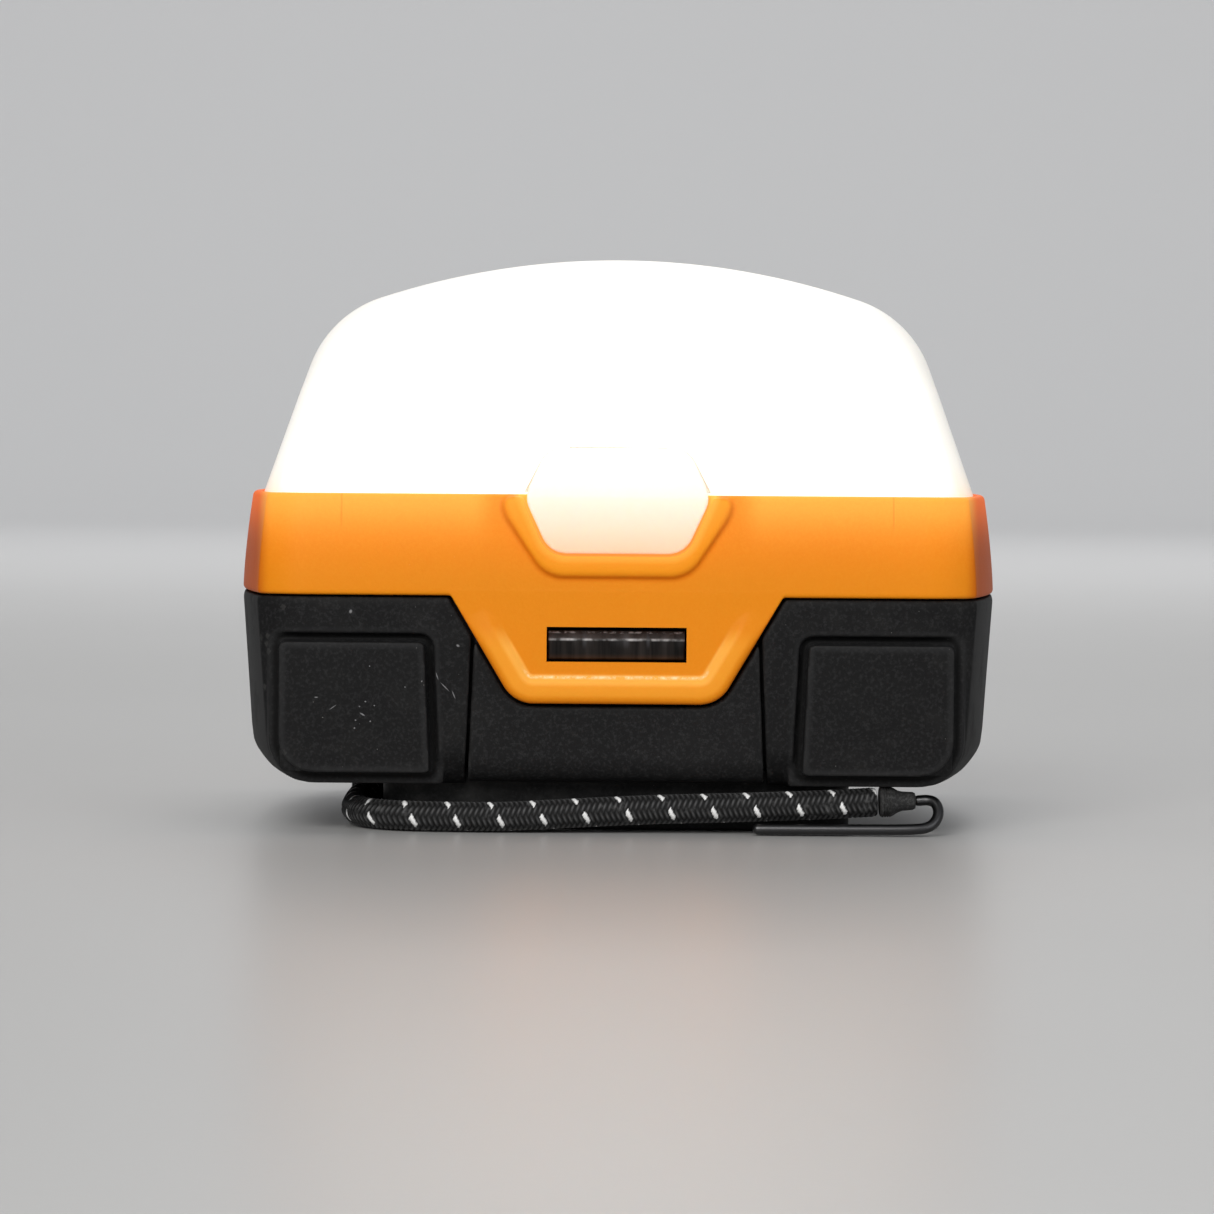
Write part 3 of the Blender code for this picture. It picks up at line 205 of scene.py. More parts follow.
class Nodes:
    """Short hand for building one material's node tree."""

    def __init__(self, name):
        self.material = bpy.data.materials.new(name)
        self.material.use_nodes = True
        self.tree = self.material.node_tree
        self.shader = self.tree.nodes["Principled BSDF"]
        self.place = self.node("TexCoord").outputs["Object"]

    def put(self, socket, value):
        """A constant or another node's output into a socket."""
        if isinstance(value, bpy.types.NodeSocket):
            self.tree.links.new(value, socket)
        else:
            socket.default_value = value

    def fill(self, node, **values):
        """Values of a node's sockets; underscores stand for spaces."""
        for key, value in values.items():
            self.put(node.inputs[key.replace("_", " ")], value)
        return node

    def node(self, kind, **values):
        return self.fill(self.tree.nodes.new("ShaderNode" + kind), **values)

    def set(self, **values):
        self.fill(self.shader, **values)

    def stretched(self, scale):
        """Object coordinates, multiplied along each axis where a scale is given."""
        if not scale:
            return self.place
        return self.node("Mapping", Vector=self.place, Scale=scale).outputs["Vector"]

    def noise(self, scale, detail=3.0, roughness=0.55, stretch=None):
        place = self.stretched(stretch)
        node = self.node("TexNoise", Vector=place, Scale=scale, Detail=detail, Roughness=roughness)
        return node.outputs["Fac"]

    def cells(self, scale, randomness=1.0, feature="F1"):
        node = self.node("TexVoronoi", Vector=self.place, Scale=scale, Randomness=randomness)
        node.feature = feature
        return node.outputs["Distance"]

    def ramp(self, source, stops):
        """Colour ramp of (position, grey or colour) stops."""
        node = self.node("ValToRGB", Fac=source)
        elements = node.color_ramp.elements
        while len(elements) < len(stops):
            elements.new(0.5)
        for element, (position, colour) in zip(elements, stops):
            colour = (colour,) * 3 if isinstance(colour, (int, float)) else colour
            element.position = position
            element.color = (*colour, 1.0)
        return node.outputs["Color"]

    def patches(self, noise, low, high, least=0.0, most=1.0):
        """Two-stop ramp that picks the noise's higher patches."""
        return self.ramp(noise, [(low, least), (high, most)])

    def math(self, operation, *values, clamp=False):
        node = self.node("Math")
        node.operation = operation
        node.use_clamp = clamp
        for socket, value in zip(node.inputs, values):
            self.put(socket, value)
        return node.outputs["Value"]

    def times(self, first, *factors, clamp=False):
        for factor in factors:
            first = self.math("MULTIPLY", first, factor, clamp=clamp)
        return first

    def scaled(self, source, by, start):
        """Start plus the source times a number."""
        return self.math("MULTIPLY_ADD", source, by, start)

    def mix(self, share, first, second):
        node = self.node("Mix")
        node.data_type = "RGBA"
        for index, value in ((0, share), (6, first), (7, second)):
            self.put(node.inputs[index], (*value, 1.0) if isinstance(value, tuple) else value)
        return node.outputs[2]

    def over(self, base, *layers):
        """The base under layers of (share, colour), the lowest layer first."""
        for share, colour in layers:
            base = self.mix(share, base, colour)
        return base

    def axis(self, name):
        return self.node("SeparateXYZ", Vector=self.place).outputs[name]

    def away(self, name):
        """Distance from the middle plane along an axis."""
        return self.math("ABSOLUTE", self.axis(name))

    def between(self, source, low, high, clamp=True):
        """Source mapped so that low is 0 and high is 1."""
        node = self.node("MapRange")
        node.clamp = clamp
        node.interpolation_type = "SMOOTHSTEP" if clamp else "LINEAR"
        return self.fill(node, From_Min=low, From_Max=high, Value=source).outputs["Result"]

    def bump(self, *layers):
        """Chain of (height, distance in millimetres) layers into the shader's normal; gives the material."""
        normal = {}
        for height, distance in layers:
            node = self.node("Bump", Strength=1.0, Distance=distance * MM, Height=height, **normal)
            normal = {"Normal": node.outputs["Normal"]}
        self.set(**normal)
        return self.material

    def edges(self, low, high):
        """Bright on convex edges."""
        return self.between(self.node("NewGeometry").outputs["Pointiness"], low, high)

    def stored(self, name):
        """A number kept with the mesh's points."""
        node = self.node("Attribute")
        node.attribute_name = name
        return node.outputs["Fac"]

    def band(self, source, middle, half_width):
        """Soft band round one value of the source."""
        return self.between(self.math("ABSOLUTE", self.math("SUBTRACT", source, middle)), half_width, 0.0)

    def fleck(self, x, z, half_length, half_width, angle_deg):
        """Mask of one small oval mark on the front, in millimetres."""
        node = self.node("Mapping")
        node.vector_type = "TEXTURE"
        self.fill(
            node, Vector=self.place, Location=(x * MM, -27.5 * MM, z * MM),
            Rotation=(0.0, -math.radians(angle_deg), 0.0),
            Scale=(half_length * MM, 3.0 * MM, half_width * MM),
        )
        length = self.node("VectorMath")
        length.operation = "LENGTH"
        self.put(length.inputs[0], node.outputs["Vector"])
        return self.between(length.outputs["Value"], 1.3, 0.4)


# ---------------------------------------------------------------- materials

def dome_material():
    """Milky polycarbonate with the lights glowing through it, warmer where it thickens at the foot."""
    n = Nodes("dome_milky")
    z = n.axis("Z")
    cloud = n.noise(70.0, 2.0)
    foot = n.between(z, 0.0385, 0.0345)
    # The crown and the front half glow more than the sides and rear: painted light that keeps the front white
    # and gives the dome painted shading when seen from other sides.
    crown = n.between(z, 0.0600, 0.0480)
    front = n.between(n.axis("Y"), -0.0080, -0.0220)
    glow = n.mix(front, n.scaled(crown, 0.04, 0.20), n.scaled(crown, 0.12, 0.36))
    n.set(
        Emission_Color=n.mix(foot, (1.0, 0.955, 0.86), (1.0, 0.86, 0.62)),
        Emission_Strength=n.scaled(cloud, 0.04, glow),
        Base_Color=n.mix(cloud, (0.90, 0.885, 0.84), (0.93, 0.915, 0.875)),
        Roughness=0.36, IOR=1.55, Subsurface_Weight=0.2, Subsurface_Scale=0.004,
        Subsurface_Radius=(1.0, 0.8, 0.6),
    )
    return n.bump((n.noise(2600.0, 2.0), 0.006), (n.noise(60.0, 2.0), 0.04))


def orange_material():
    """Orange moulded plastic with a fine spark-eroded skin and worn lips, painted highlights on its lips and
    rim, painted shade low down, along the tongue and rim edges and on its sides, and lit through at its top.
    """
    n = Nodes("orange_moulded")
    x = n.away("X")
    z = n.axis("Z")
    lip = n.stored("lip")
    blotch = n.noise(55.0, 4.0, 0.6)
    grain = n.noise(3400.0, 2.0, 0.7)
    broken = n.patches(n.noise(1500.0, 5.0, 0.75), 0.40, 0.62)
    below = n.between(z, 0.0215, 0.0185)
    # Painted highlights on the lip: its ridge and its inner slope, which faces the light from above, are made
    # lighter.
    slope = n.times(n.between(lip, 1.7, 2.3), n.between(lip, 3.1, 2.8), below)
    lip_crest_highlight = n.times(n.between(lip, 0.4, 1.0), n.between(lip, 2.9, 2.4), below)
    # Broken pale band at the lip's inner foot: partly wear, partly painted highlight.
    rubbed_and_highlight = n.times(n.band(lip, 2.70, 0.26), n.between(z, 0.0172, 0.0160), broken)
    line = n.times(n.band(x, 0.0280, 0.00012), n.between(z, 0.0305, 0.0325))
    # The side strips are painted darker and redder as painted shade, and glow redder at their top.
    side = n.between(x, 0.0352, 0.0372)
    base = n.over(
        n.mix(blotch, (0.86, 0.228, 0.005), (0.94, 0.265, 0.009)),
        (n.patches(grain, 0.38, 0.74, most=0.20), (1.0, 0.38, 0.035)),
        # Painted shade: darker towards the collar's bottom.
        (n.times(n.between(z, 0.0310, 0.0250), 0.50), (0.67, 0.235, 0.003)),
        (n.times(lip_crest_highlight, 0.45), (1.0, 0.42, 0.04)),
        (n.times(slope, 0.75), (1.0, 0.48, 0.08)),
        (n.times(rubbed_and_highlight, 0.9), (1.0, 0.80, 0.45)),
        # Painted highlight along the ridge of the rim round the button.
        (n.times(n.stored("rim_crest_highlight"), 0.5), (1.0, 0.36, 0.015)),
        # Painted shade: darker bands along the tongue's edge and the rim's outer foot.
        (n.times(n.band(lip, 0.0, 0.45), 0.5), (0.66, 0.13, 0.003)),
        (n.times(n.band(n.stored("rim"), 0.0, 0.5), 0.5), (0.70, 0.14, 0.002)),
        (n.times(line, 0.35), (0.55, 0.12, 0.004)),
        (n.times(n.ramp(n.cells(520.0), [(0.0, 1.0), (0.026, 0.0)]), 0.35), (0.96, 0.72, 0.40)),
        (n.times(side, 0.9), (0.47, 0.066, 0.001)),
    )
    top = n.math("POWER", n.between(z, 0.0262, 0.0348), 2.2)
    past_button = n.math("MAXIMUM", n.between(x, 0.0120, 0.0150), n.between(n.axis("Y"), 0.0, 0.01))
    glow = n.math("ADD", n.times(top, n.scaled(past_button, 0.24, 0.10)), n.times(top, side, 0.12))
    n.set(
        Base_Color=base, Emission_Color=n.mix(side, (1.0, 0.66, 0.16), (1.0, 0.16, 0.01)),
        Emission_Strength=n.math("ADD", glow, n.times(n.stored("lit"), 0.34)),
        Roughness=n.scaled(grain, 0.10, n.scaled(blotch, 0.14, 0.38)), IOR=1.5, Specular_IOR_Level=0.12,
        Subsurface_Weight=0.08, Subsurface_Scale=0.0012, Subsurface_Radius=(1.0, 0.35, 0.1),
    )
    return n.bump((grain, 0.012), (n.cells(2600.0), 0.007), (n.noise(180.0, 3.0), 0.02), (line, -0.05))


def dark_plastic(name, low, high, roughness, grain_scale=3200.0, relief=0.010, dust=0.25, flecks=(),
                 pad_light_and_shade=()):
    """Black moulded plastic or rubber with fine grain, worn edges, pale dust, a few flecks of lint, and
    painted highlight and shade bands round a pad where given.
    """
    n = Nodes(name)
    grain = n.noise(grain_scale, 2.0, 0.7)
    worn = n.times(n.edges(0.51, 0.58), n.patches(n.noise(500.0, 4.0), 0.42, 0.64, least=0.25), 0.5)
    film = n.patches(n.noise(210.0, 5.0, 0.65), 0.50, 0.78)
    specks = n.ramp(n.cells(900.0), [(0.0, 1.0), (0.045, 0.0)])
    specks = n.times(specks, n.patches(n.noise(120.0, 2.0), 0.50, 0.62))
    base = n.over(
        n.mix(n.noise(75.0, 4.0, 0.6), low, high),
        (n.patches(grain, 0.48, 0.80, most=0.6), tuple(3.4 * c for c in high)),
        (worn, (0.06, 0.059, 0.057)),
        (n.times(film, dust * 0.05), (0.30, 0.29, 0.27)),
        (n.times(specks, dust * 2.0, clamp=True), (0.5, 0.49, 0.47)),
    )
    # Painted highlights at the pad's edge and the groove's outer edge, and painted shade in the groove.
    for middle, half_width, share, colour in pad_light_and_shade:
        base = n.over(base, (n.times(n.band(n.stored("pad"), middle, half_width), share), colour))
    for place in flecks:
        base = n.over(base, (n.fleck(*place), (0.20, 0.20, 0.205)))
    rough = n.scaled(grain, 0.12, n.scaled(film, 0.14, roughness))
    n.set(Base_Color=base, Roughness=rough, IOR=1.45, Specular_IOR_Level=0.11)
    return n.bump((grain, relief), (n.noise(260.0, 3.0), 0.018))


def catch_material():
    """Glossy black catch: its crease and top edge are worn pale with a painted highlight on them, its upper
    slope is painted lighter as if lit from above, an orange bounce is painted at its foot, and faint smears
    run down from the crease.
    """
    n = Nodes("catch_black")
    x = n.axis("X")
    z = n.axis("Z")
    crease = CATCH_CREASE * MM
    worn = (0.50, 0.49, 0.49)
    streaks = n.noise(1.0, 3.0, 0.6, stretch=(900.0, 900.0, 60.0))
    broken = n.patches(n.noise(1.0, 3.0, 0.6, stretch=(520.0, 520.0, 300.0)), 0.44, 0.60, 0.05, 0.9)
    smear = n.patches(n.noise(1.0, 2.0, 0.5, stretch=(500.0, 500.0, 20.0)), 0.50, 0.70, most=0.6)
    for place, half_width in SMEARS:
        smear = n.math("ADD", smear, n.band(x, place * MM, half_width * MM), clamp=True)
    smear = n.times(smear, n.between(z, crease - 1.1 * MM, crease))
    nose = n.between(n.away("Y"), 0.0250, 0.0258)
    # Painted reflection: orange light bounced from the lip, at the catch's foot.
    painted_orange_bounce = n.times(n.between(z, (CATCH_LOW + 0.5) * MM, CATCH_LOW * MM), streaks)
    chips = n.patches(n.noise(1500.0, 3.0, 0.6), 0.48, 0.60)
    top_edge = n.times(n.band(z, (CATCH_HIGH - 0.08) * MM, 0.16 * MM), chips)
    # Painted light: the upper slope is made lighter where it faces the light from above.
    upper = n.times(n.between(z, crease, crease + 0.1 * MM), streaks)
    base = n.over(
        n.mix(n.patches(streaks, 0.36, 0.66), (0.002, 0.0014, 0.001), (0.020, 0.016, 0.014)),
        (n.times(upper, 0.8), (0.11, 0.095, 0.09)),
        (n.times(smear, 0.55), (0.07, 0.07, 0.075)),
        (n.times(painted_orange_bounce, 0.4), (0.10, 0.04, 0.01)),
        # Crease band and top edge: pale wear mixed with a painted highlight where they catch the light.
        (n.times(n.band(z, crease, 0.2 * MM), broken), worn),
        (n.times(top_edge, 0.8), worn),
    )
    n.set(Base_Color=n.mix(nose, (0.012, 0.011, 0.011), base), Roughness=n.scaled(streaks, 0.25, 0.2),
          IOR=1.5, Specular_IOR_Level=0.14)
    return n.bump((streaks, 0.006), (n.noise(2600.0, 2.0), 0.004))


def button_material():
    """Translucent silicone, lit from behind at its top and warmer where it covers the collar."""
    n = Nodes("button_silicone")
    height = n.between(n.axis("Z"), 0.0285, 0.0400, clamp=False)
    cloud = n.noise(160.0, 3.0)
    glow = n.ramp(height, [(0.0, (0.36, 0.12, 0.05)), (0.2, (0.37, 0.18, 0.10)), (0.5, (0.38, 0.25, 0.18)),
                           (1.0, (0.42, 0.36, 0.29))])
    skin = n.ramp(height, [(0.0, (0.78, 0.52, 0.34)), (0.25, (0.82, 0.63, 0.50)), (0.6, (0.86, 0.77, 0.68)),
                           (1.0, (0.90, 0.87, 0.82))])
    n.set(
        Emission_Color=glow, Emission_Strength=n.scaled(cloud, 0.06, 0.97),
        Base_Color=n.over(skin, (n.times(cloud, 0.12), (0.93, 0.90, 0.85))),
        Roughness=0.45, Subsurface_Weight=0.3, Subsurface_Scale=0.002,
    )
    return n.bump((n.noise(2800.0, 2.0), 0.006), (n.noise(300.0, 2.0), 0.02))


def cord_material():
    """Braided sheath: black yarns with slight variation, painted highlights on their tops and painted shade
    between them, and a pale reflective tracer yarn.
    """
    n = Nodes("cord_braid")
    tracer = n.stored("tracer")
    depth = n.stored("relief")
    fibre = n.noise(4200.0, 3.0, 0.7)
    # The tops of the yarns are painted lighter as a highlight, and the hollows between them painted nearly
    # black as shade.
    yarn = n.over(
        n.mix(fibre, (0.008, 0.008, 0.0083), (0.042, 0.042, 0.043)),
        (n.patches(depth, 0.80, 1.0, most=0.5), (0.12, 0.12, 0.12)),
        (n.ramp(depth, [(0.40, 1.0), (0.80, 0.0)]), (0.002, 0.002, 0.002)),
        (n.times(n.patches(n.noise(900.0, 4.0), 0.58, 0.75), 0.25), (0.22, 0.22, 0.22)),
    )
    white = n.mix(fibre, (0.72, 0.72, 0.72), (0.97, 0.97, 0.96))
    n.set(Base_Color=n.mix(tracer, yarn, white), Roughness=n.scaled(tracer, -0.25, 0.72),
          Sheen_Weight=0.08, Sheen_Roughness=0.4, Specular_IOR_Level=0.3)
    return n.bump((fibre, 0.03))


def metal_material(name, colour, roughness=0.32, brush=(300.0, 6000.0, 6000.0)):
    """Plated or drawn metal with fine brushing and faint tarnish."""
    n = Nodes(name)
    lines = n.noise(1.0, 3.0, 0.6, stretch=brush)
    tarnish = n.patches(n.noise(160.0, 3.0, 0.5), 0.42, 0.72)
    n.set(Base_Color=n.mix(tarnish, colour, tuple(c * 0.84 for c in colour)),
          Roughness=n.scaled(lines, 0.10, roughness - 0.05), Metallic=1.0)
    return n.bump((lines, 0.0012))


def light_plastic(name, low, high, roughness=0.45):
    """Pale moulded plastic, film or solder mask."""
    n = Nodes(name)
    grain = n.noise(2500.0, 2.0)
    n.set(Base_Color=n.mix(n.noise(120.0, 4.0), low, high), Roughness=n.scaled(grain, 0.15, roughness - 0.07))
    return n.bump((grain, 0.006))


def board_material(name, low, high):
    """Circuit board: solder mask over faint copper tracks and pads."""
    n = Nodes(name)
    tracks = n.ramp(n.cells(240.0, 0.35, "DISTANCE_TO_EDGE"), [(0.03, 1.0), (0.07, 0.0)])
    copper = tuple(min(1.0, 1.8 * c + 0.03) for c in high)
    n.set(Base_Color=n.over(n.mix(n.noise(150.0), low, high), (n.times(tracks, 0.35), copper)),
          Roughness=n.scaled(tracks, -0.12, 0.42))
    return n.bump((tracks, 0.02), (n.noise(2200.0), 0.005))


def led_material():
    """Phosphor of a lit light package."""
    n = Nodes("led_phosphor")
    grain = n.noise(3000.0)
    n.set(Base_Color=n.mix(grain, (1.0, 0.80, 0.40), (1.0, 0.90, 0.58)),
          Emission_Color=n.mix(grain, (1.0, 0.82, 0.50), (1.0, 0.90, 0.66)),
          Emission_Strength=5.0, Roughness=0.3)
    return n.bump((grain, 0.01))


def battery_material():
    """Printed film jacket in two plain bands, with bare metal at the ends."""
    n = Nodes("cell_jacket")
    metal = (0.62, 0.60, 0.56)
    band = n.ramp(n.between(n.axis("X"), -0.026, 0.026, clamp=False),
                  [(0.0, metal), (0.055, metal), (0.06, (0.06, 0.07, 0.085)),
                   (0.90, (0.09, 0.10, 0.12)), (0.905, metal), (1.0, metal)])
    scuff = n.patches(n.noise(1.0, stretch=(250.0, 2500.0, 2500.0)), 0.62, 0.75)
    n.set(Base_Color=n.over(band, (n.times(scuff, 0.10), (0.4, 0.4, 0.4))),
          Roughness=n.scaled(scuff, 0.12, 0.24), Coat_Weight=0.3, Coat_Roughness=0.12)
    return n.bump((n.noise(250.0, 2.0), 0.008))


# ---------------------------------------------------------------- outlines

def outline(half_width, half_depth, side_radius, corner_radius, turn=None):
    """Plan outline, anticlockwise from the middle of the front.

    A corner arc turns by the angle given and meets the side at a crease.
    Without an angle it runs into the side smoothly.
    """
    corner = max(corner_radius, 0.8)
    side_centre = half_width - side_radius
    corner_y = corner - half_depth
    if turn is None:
        corner_x = side_centre + math.sqrt((side_radius - corner) ** 2 - corner_y ** 2)
        turn = math.pi / 2 + math.atan2(corner_y, corner_x - side_centre)
        end_y = corner_y - corner * math.cos(turn)
    else:
        end_y = corner_y - corner * math.cos(turn)
        corner_x = side_centre + math.sqrt(side_radius ** 2 - end_y ** 2) - corner * math.sin(turn)
    side_angle = math.asin(end_y / side_radius)
    quarter = [(corner_x * step / FRONT_STEPS, -half_depth) for step in range(FRONT_STEPS)]
    for step in range(CORNER_STEPS):
        angle = -math.pi / 2 + turn * step / CORNER_STEPS
        quarter.append((corner_x + corner * math.cos(angle), corner_y + corner * math.sin(angle)))
    for step in range(SIDE_STEPS + 1):
        angle = side_angle * (1 - step / SIDE_STEPS)
        quarter.append((side_centre + side_radius * math.cos(angle), side_radius * math.sin(angle)))
    right_rear = [(x, -y) for x, y in reversed(quarter[:-1])]
    left_rear = [(-x, -y) for x, y in quarter[1:]]
    left_front = [(-x, y) for x, y in reversed(quarter[1:-1])]
    return quarter + right_rear + left_rear + left_front


def ring(z, inset, depth_inset=None):
    """Ring of the plan outline at height z, moved inwards."""
    depth_inset = inset if depth_inset is None else depth_inset
    flat = outline(HALF_WIDTH - inset, HALF_DEPTH - depth_inset, SIDE_RADIUS - inset, CORNER_RADIUS - inset,
                   math.radians(CORNER_TURN_DEG))
    return [(x, y, z) for x, y in flat]


def rounded(corners, radius, closed=True, steps=10):
    """Polygon or open path whose corners are arcs of the radius, or of their own radii in a list."""
    points = []
    count = len(corners)
    radii = radius if isinstance(radius, list) else [radius] * count
    for index in range(count):
        if not closed and index in (0, count - 1):
            points.append(tuple(corners[index]))
            continue
        radius = radii[index]
        here = Vector(corners[index])
        before = (Vector(corners[index - 1]) - here).normalized()
        after = (Vector(corners[(index + 1) % count]) - here).normalized()
        half = before.angle(after) / 2
        centre = here + (before + after).normalized() * (radius / math.sin(half))
        start = here + before * (radius / math.tan(half)) - centre
        end = here + after * (radius / math.tan(half)) - centre
        first = math.atan2(start.y, start.x)
        turn = (math.atan2(end.y, end.x) - first + math.pi) % (2 * math.pi) - math.pi
        for step in range(steps + 1):
            angle = first + turn * step / steps
            points.append((centre.x + radius * math.cos(angle), centre.y + radius * math.sin(angle)))
    return points


def moved_out(points, distance, closed=True):
    """Polygon or path moved to its right-hand side, which is outwards when it runs anticlockwise."""
    result = []
    count = len(points)
    for index in range(count):
        here = Vector(points[index])
        last = index - 1 if closed or index else index
        following = (index + 1) % count if closed or index < count - 1 else index
        arrive = here - Vector(points[last])
        leave = Vector(points[following]) - here
        arrive = (arrive if arrive.length else leave).normalized()
        leave = (leave if leave.length else arrive).normalized()
        side_in = Vector((arrive.y, -arrive.x))
        middle = (side_in + Vector((leave.y, -leave.x))).normalized()
        result.append(tuple(here + middle * (distance / middle.dot(side_in))))
    return result


def smooth_path(route, spacing):
    """Points along a Catmull-Rom curve through the route, about one spacing apart."""
    knots = [Vector(point) for point in route]
    knots = [2 * knots[0] - knots[1]] + knots + [2 * knots[-1] - knots[-2]]
    points = []
    for index in range(1, len(knots) - 2):
        p0, p1, p2, p3 = knots[index - 1:index + 3]
        steps = max(1, round((p2 - p1).length / spacing))
        for step in range(steps):
            t = step / steps
            points.append(0.5 * (2 * p1 + (p2 - p0) * t + (2 * p0 - 5 * p1 + 4 * p2 - p3) * t ** 2
                                 + (3 * p1 - p0 - 3 * p2 + p3) * t ** 3))
    points.append(knots[-2])
    return points


def distances(points):
    """Distance of each point from the first along their path."""
    return np.concatenate([[0.0], np.cumsum(np.linalg.norm(np.diff(points, axis=0), axis=1))])


def resampled(path, count):
    """The path with the given number of evenly spaced points."""
    points = np.array(path)
    lengths = distances(points)
    even = np.linspace(0.0, lengths[-1], count)
    return np.stack([np.interp(even, lengths, points[:, axis]) for axis in range(points.shape[1])], axis=1)


# ---------------------------------------------------------------- solids

def loft(rings, closed=False):
    """Skin over a stack of equal rings, capped at its ends or joined end to end."""
    bm = bmesh.new()
    loops = [[bm.verts.new(point) for point in points] for points in rings]
    pairs = list(zip(loops, loops[1:]))
    if closed:
        pairs.append((loops[-1], loops[0]))
    else:
        bm.faces.new(list(reversed(loops[0])))
        bm.faces.new(loops[-1])
    for low, high in pairs:
        for index in range(len(low)):
            after = (index + 1) % len(low)
            bm.faces.new((low[index], low[after], high[after], high[index]))
    bmesh.ops.recalc_face_normals(bm, faces=bm.faces)
    return bm


def prism_y(points, front, back):
    """Prism of an (x, z) outline between two depths in front of the middle plane."""
    return loft([[(x, -front, z) for x, z in points], [(x, -back, z) for x, z in points]])


def bead(outer, inner, profile, face, fade=0.0):
    """Raised bead on a face between two open (x, z) paths.

    The profile gives its height at each share of the way from the outer path to the inner one.
    The face is a function of z, and fade is the length over which the bead rises at either end.
    """
    outer = resampled(outer, BEAD_ROWS)
    inner = resampled(inner, BEAD_ROWS)
    lengths = distances(outer)
    rings = []
    for index in range(BEAD_ROWS):
        rise = 1.0
        if fade:
            share = min(1.0, min(lengths[index], lengths[-1] - lengths[index]) / fade)
            rise = share * share * (3 - 2 * share)
        points = []
        for share, height in profile:
            x, z = outer[index] + (inner[index] - outer[index]) * share
            points.append((x, -(face(z) + height * rise - 0.04 * (1 - rise)), z))
        for x, z in (inner[index], outer[index]):
            points.append((x, -(face(z) - BEAD_BURIED), z))
        rings.append(points)
    return loft(rings)


def block(low, high):
    """Box between two corners."""
    bm = bmesh.new()
    bmesh.ops.create_cube(bm, size=1.0)
    bmesh.ops.scale(bm, vec=[h - l for l, h in zip(low, high)], verts=bm.verts)
    bmesh.ops.translate(bm, vec=[(h + l) / 2 for l, h in zip(low, high)], verts=bm.verts)
    return bm


def rod(radius, start, end, sides=40):
    """Cylinder from one point to another."""
    start = Vector(start)
    axis = Vector(end) - start
    bm = bmesh.new()
    bmesh.ops.create_cone(bm, cap_ends=True, segments=sides, radius1=radius, radius2=radius,
                          depth=axis.length)
    turn = axis.to_track_quat("Z", "Y").to_matrix().to_4x4()
    bmesh.ops.transform(bm, matrix=Matrix.Translation(start + axis / 2) @ turn, verts=bm.verts)
    return bm


def mirrored_y(bm):
    """The same solid on the other side of the XZ plane."""
    copy = bm.copy()
    bmesh.ops.scale(copy, vec=(1, -1, 1), verts=copy.verts)
    bmesh.ops.recalc_face_normals(copy, faces=copy.faces)
    return copy


def shave(bm, point, normal):
    """Solid cut by a plane; the side that the normal points to is removed."""
    everything = bm.verts[:] + bm.edges[:] + bm.faces[:]
    cut = bmesh.ops.bisect_plane(bm, geom=everything, plane_co=point, plane_no=normal, clear_outer=True)
    rim = [item for item in cut["geom_cut"] if isinstance(item, bmesh.types.BMEdge)]
    bmesh.ops.contextual_create(bm, geom=rim)
    bmesh.ops.recalc_face_normals(bm, faces=bm.faces)
    return bm


def shave_front(bm, y, z, lean):
    """Cut the front of a solid to a face through (y, z) that moves back by lean for each unit of height."""
    return shave(bm, (0.0, y, z), Vector((0.0, -1.0, lean)))


def in_scene(name, data):
    """New object in the scene."""
    item = bpy.data.objects.new(name, data)
    bpy.context.scene.collection.objects.link(item)
    return item


def stored(name, bm):
    """Object in metres from a solid in millimetres."""
    bmesh.ops.scale(bm, vec=(MM, MM, MM), verts=bm.verts)
    mesh = bpy.data.meshes.new(name)
    bm.to_mesh(mesh)
    bm.free()
    return in_scene(name, mesh)


def made_real(item):
    """The item's mesh, with its modifiers made real."""
    bpy.context.view_layer.update()
    graph = bpy.context.evaluated_depsgraph_get()
    item.data = bpy.data.meshes.new_from_object(item.evaluated_get(graph))
    item.modifiers.clear()
    return item.data


def finished(item, material, smooth_angle=None):
    """The item with its modifiers made real, shaded smooth, in its material."""
    mesh = made_real(item)
    mesh.name = item.name
    mesh.materials.clear()
    mesh.materials.append(material)
    mesh.shade_smooth()
    if smooth_angle:
        mesh.set_sharp_from_angle(angle=math.radians(smooth_angle))
    return item


def stepped(item, steps, solver="EXACT"):
    """The item after a list of ("UNION" or "DIFFERENCE", solid) steps."""
    tools = []
    for number, (operation, bm) in enumerate(steps):
        tool = stored(f"{item.name}_tool_{number}", bm)
        modifier = item.modifiers.new(f"step_{number}", "BOOLEAN")
        modifier.operation = operation
        modifier.solver = solver
        modifier.object = tool
        tools.append(tool)
    made_real(item)
    for tool in tools:
        bpy.data.objects.remove(tool, do_unlink=True)
    return item


def combined(name, start, steps):
    """New object from a solid and the steps that follow."""
    return stepped(stored(name, start), steps)


def moulded(item, material, voxel, passes, crisp=(), smooth_angle=None):
    """Fine even skin over a solid, with every edge softened as a mould leaves it, then crisp cuts."""
    remesh = item.modifiers.new("skin", "REMESH")
    remesh.mode = "VOXEL"
    remesh.voxel_size = voxel * MM
    soften = item.modifiers.new("soften", "SMOOTH")
    soften.factor = 0.5
    soften.iterations = passes
    if crisp:
        stepped(item, crisp, "MANIFOLD")
    return finished(item, material, smooth_angle)


def mark(item, name, values):
    """Store one number for each point of the item's mesh, for its material to read."""
    attribute = item.data.attributes.new(name, "FLOAT", "POINT")
    attribute.data.foreach_set("value", values.astype(np.float32))


def points_of(item):
    """The mesh's points in millimetres."""
    flat = np.empty(len(item.data.vertices) * 3)
    item.data.vertices.foreach_get("co", flat)
    return flat.reshape(-1, 3) / MM


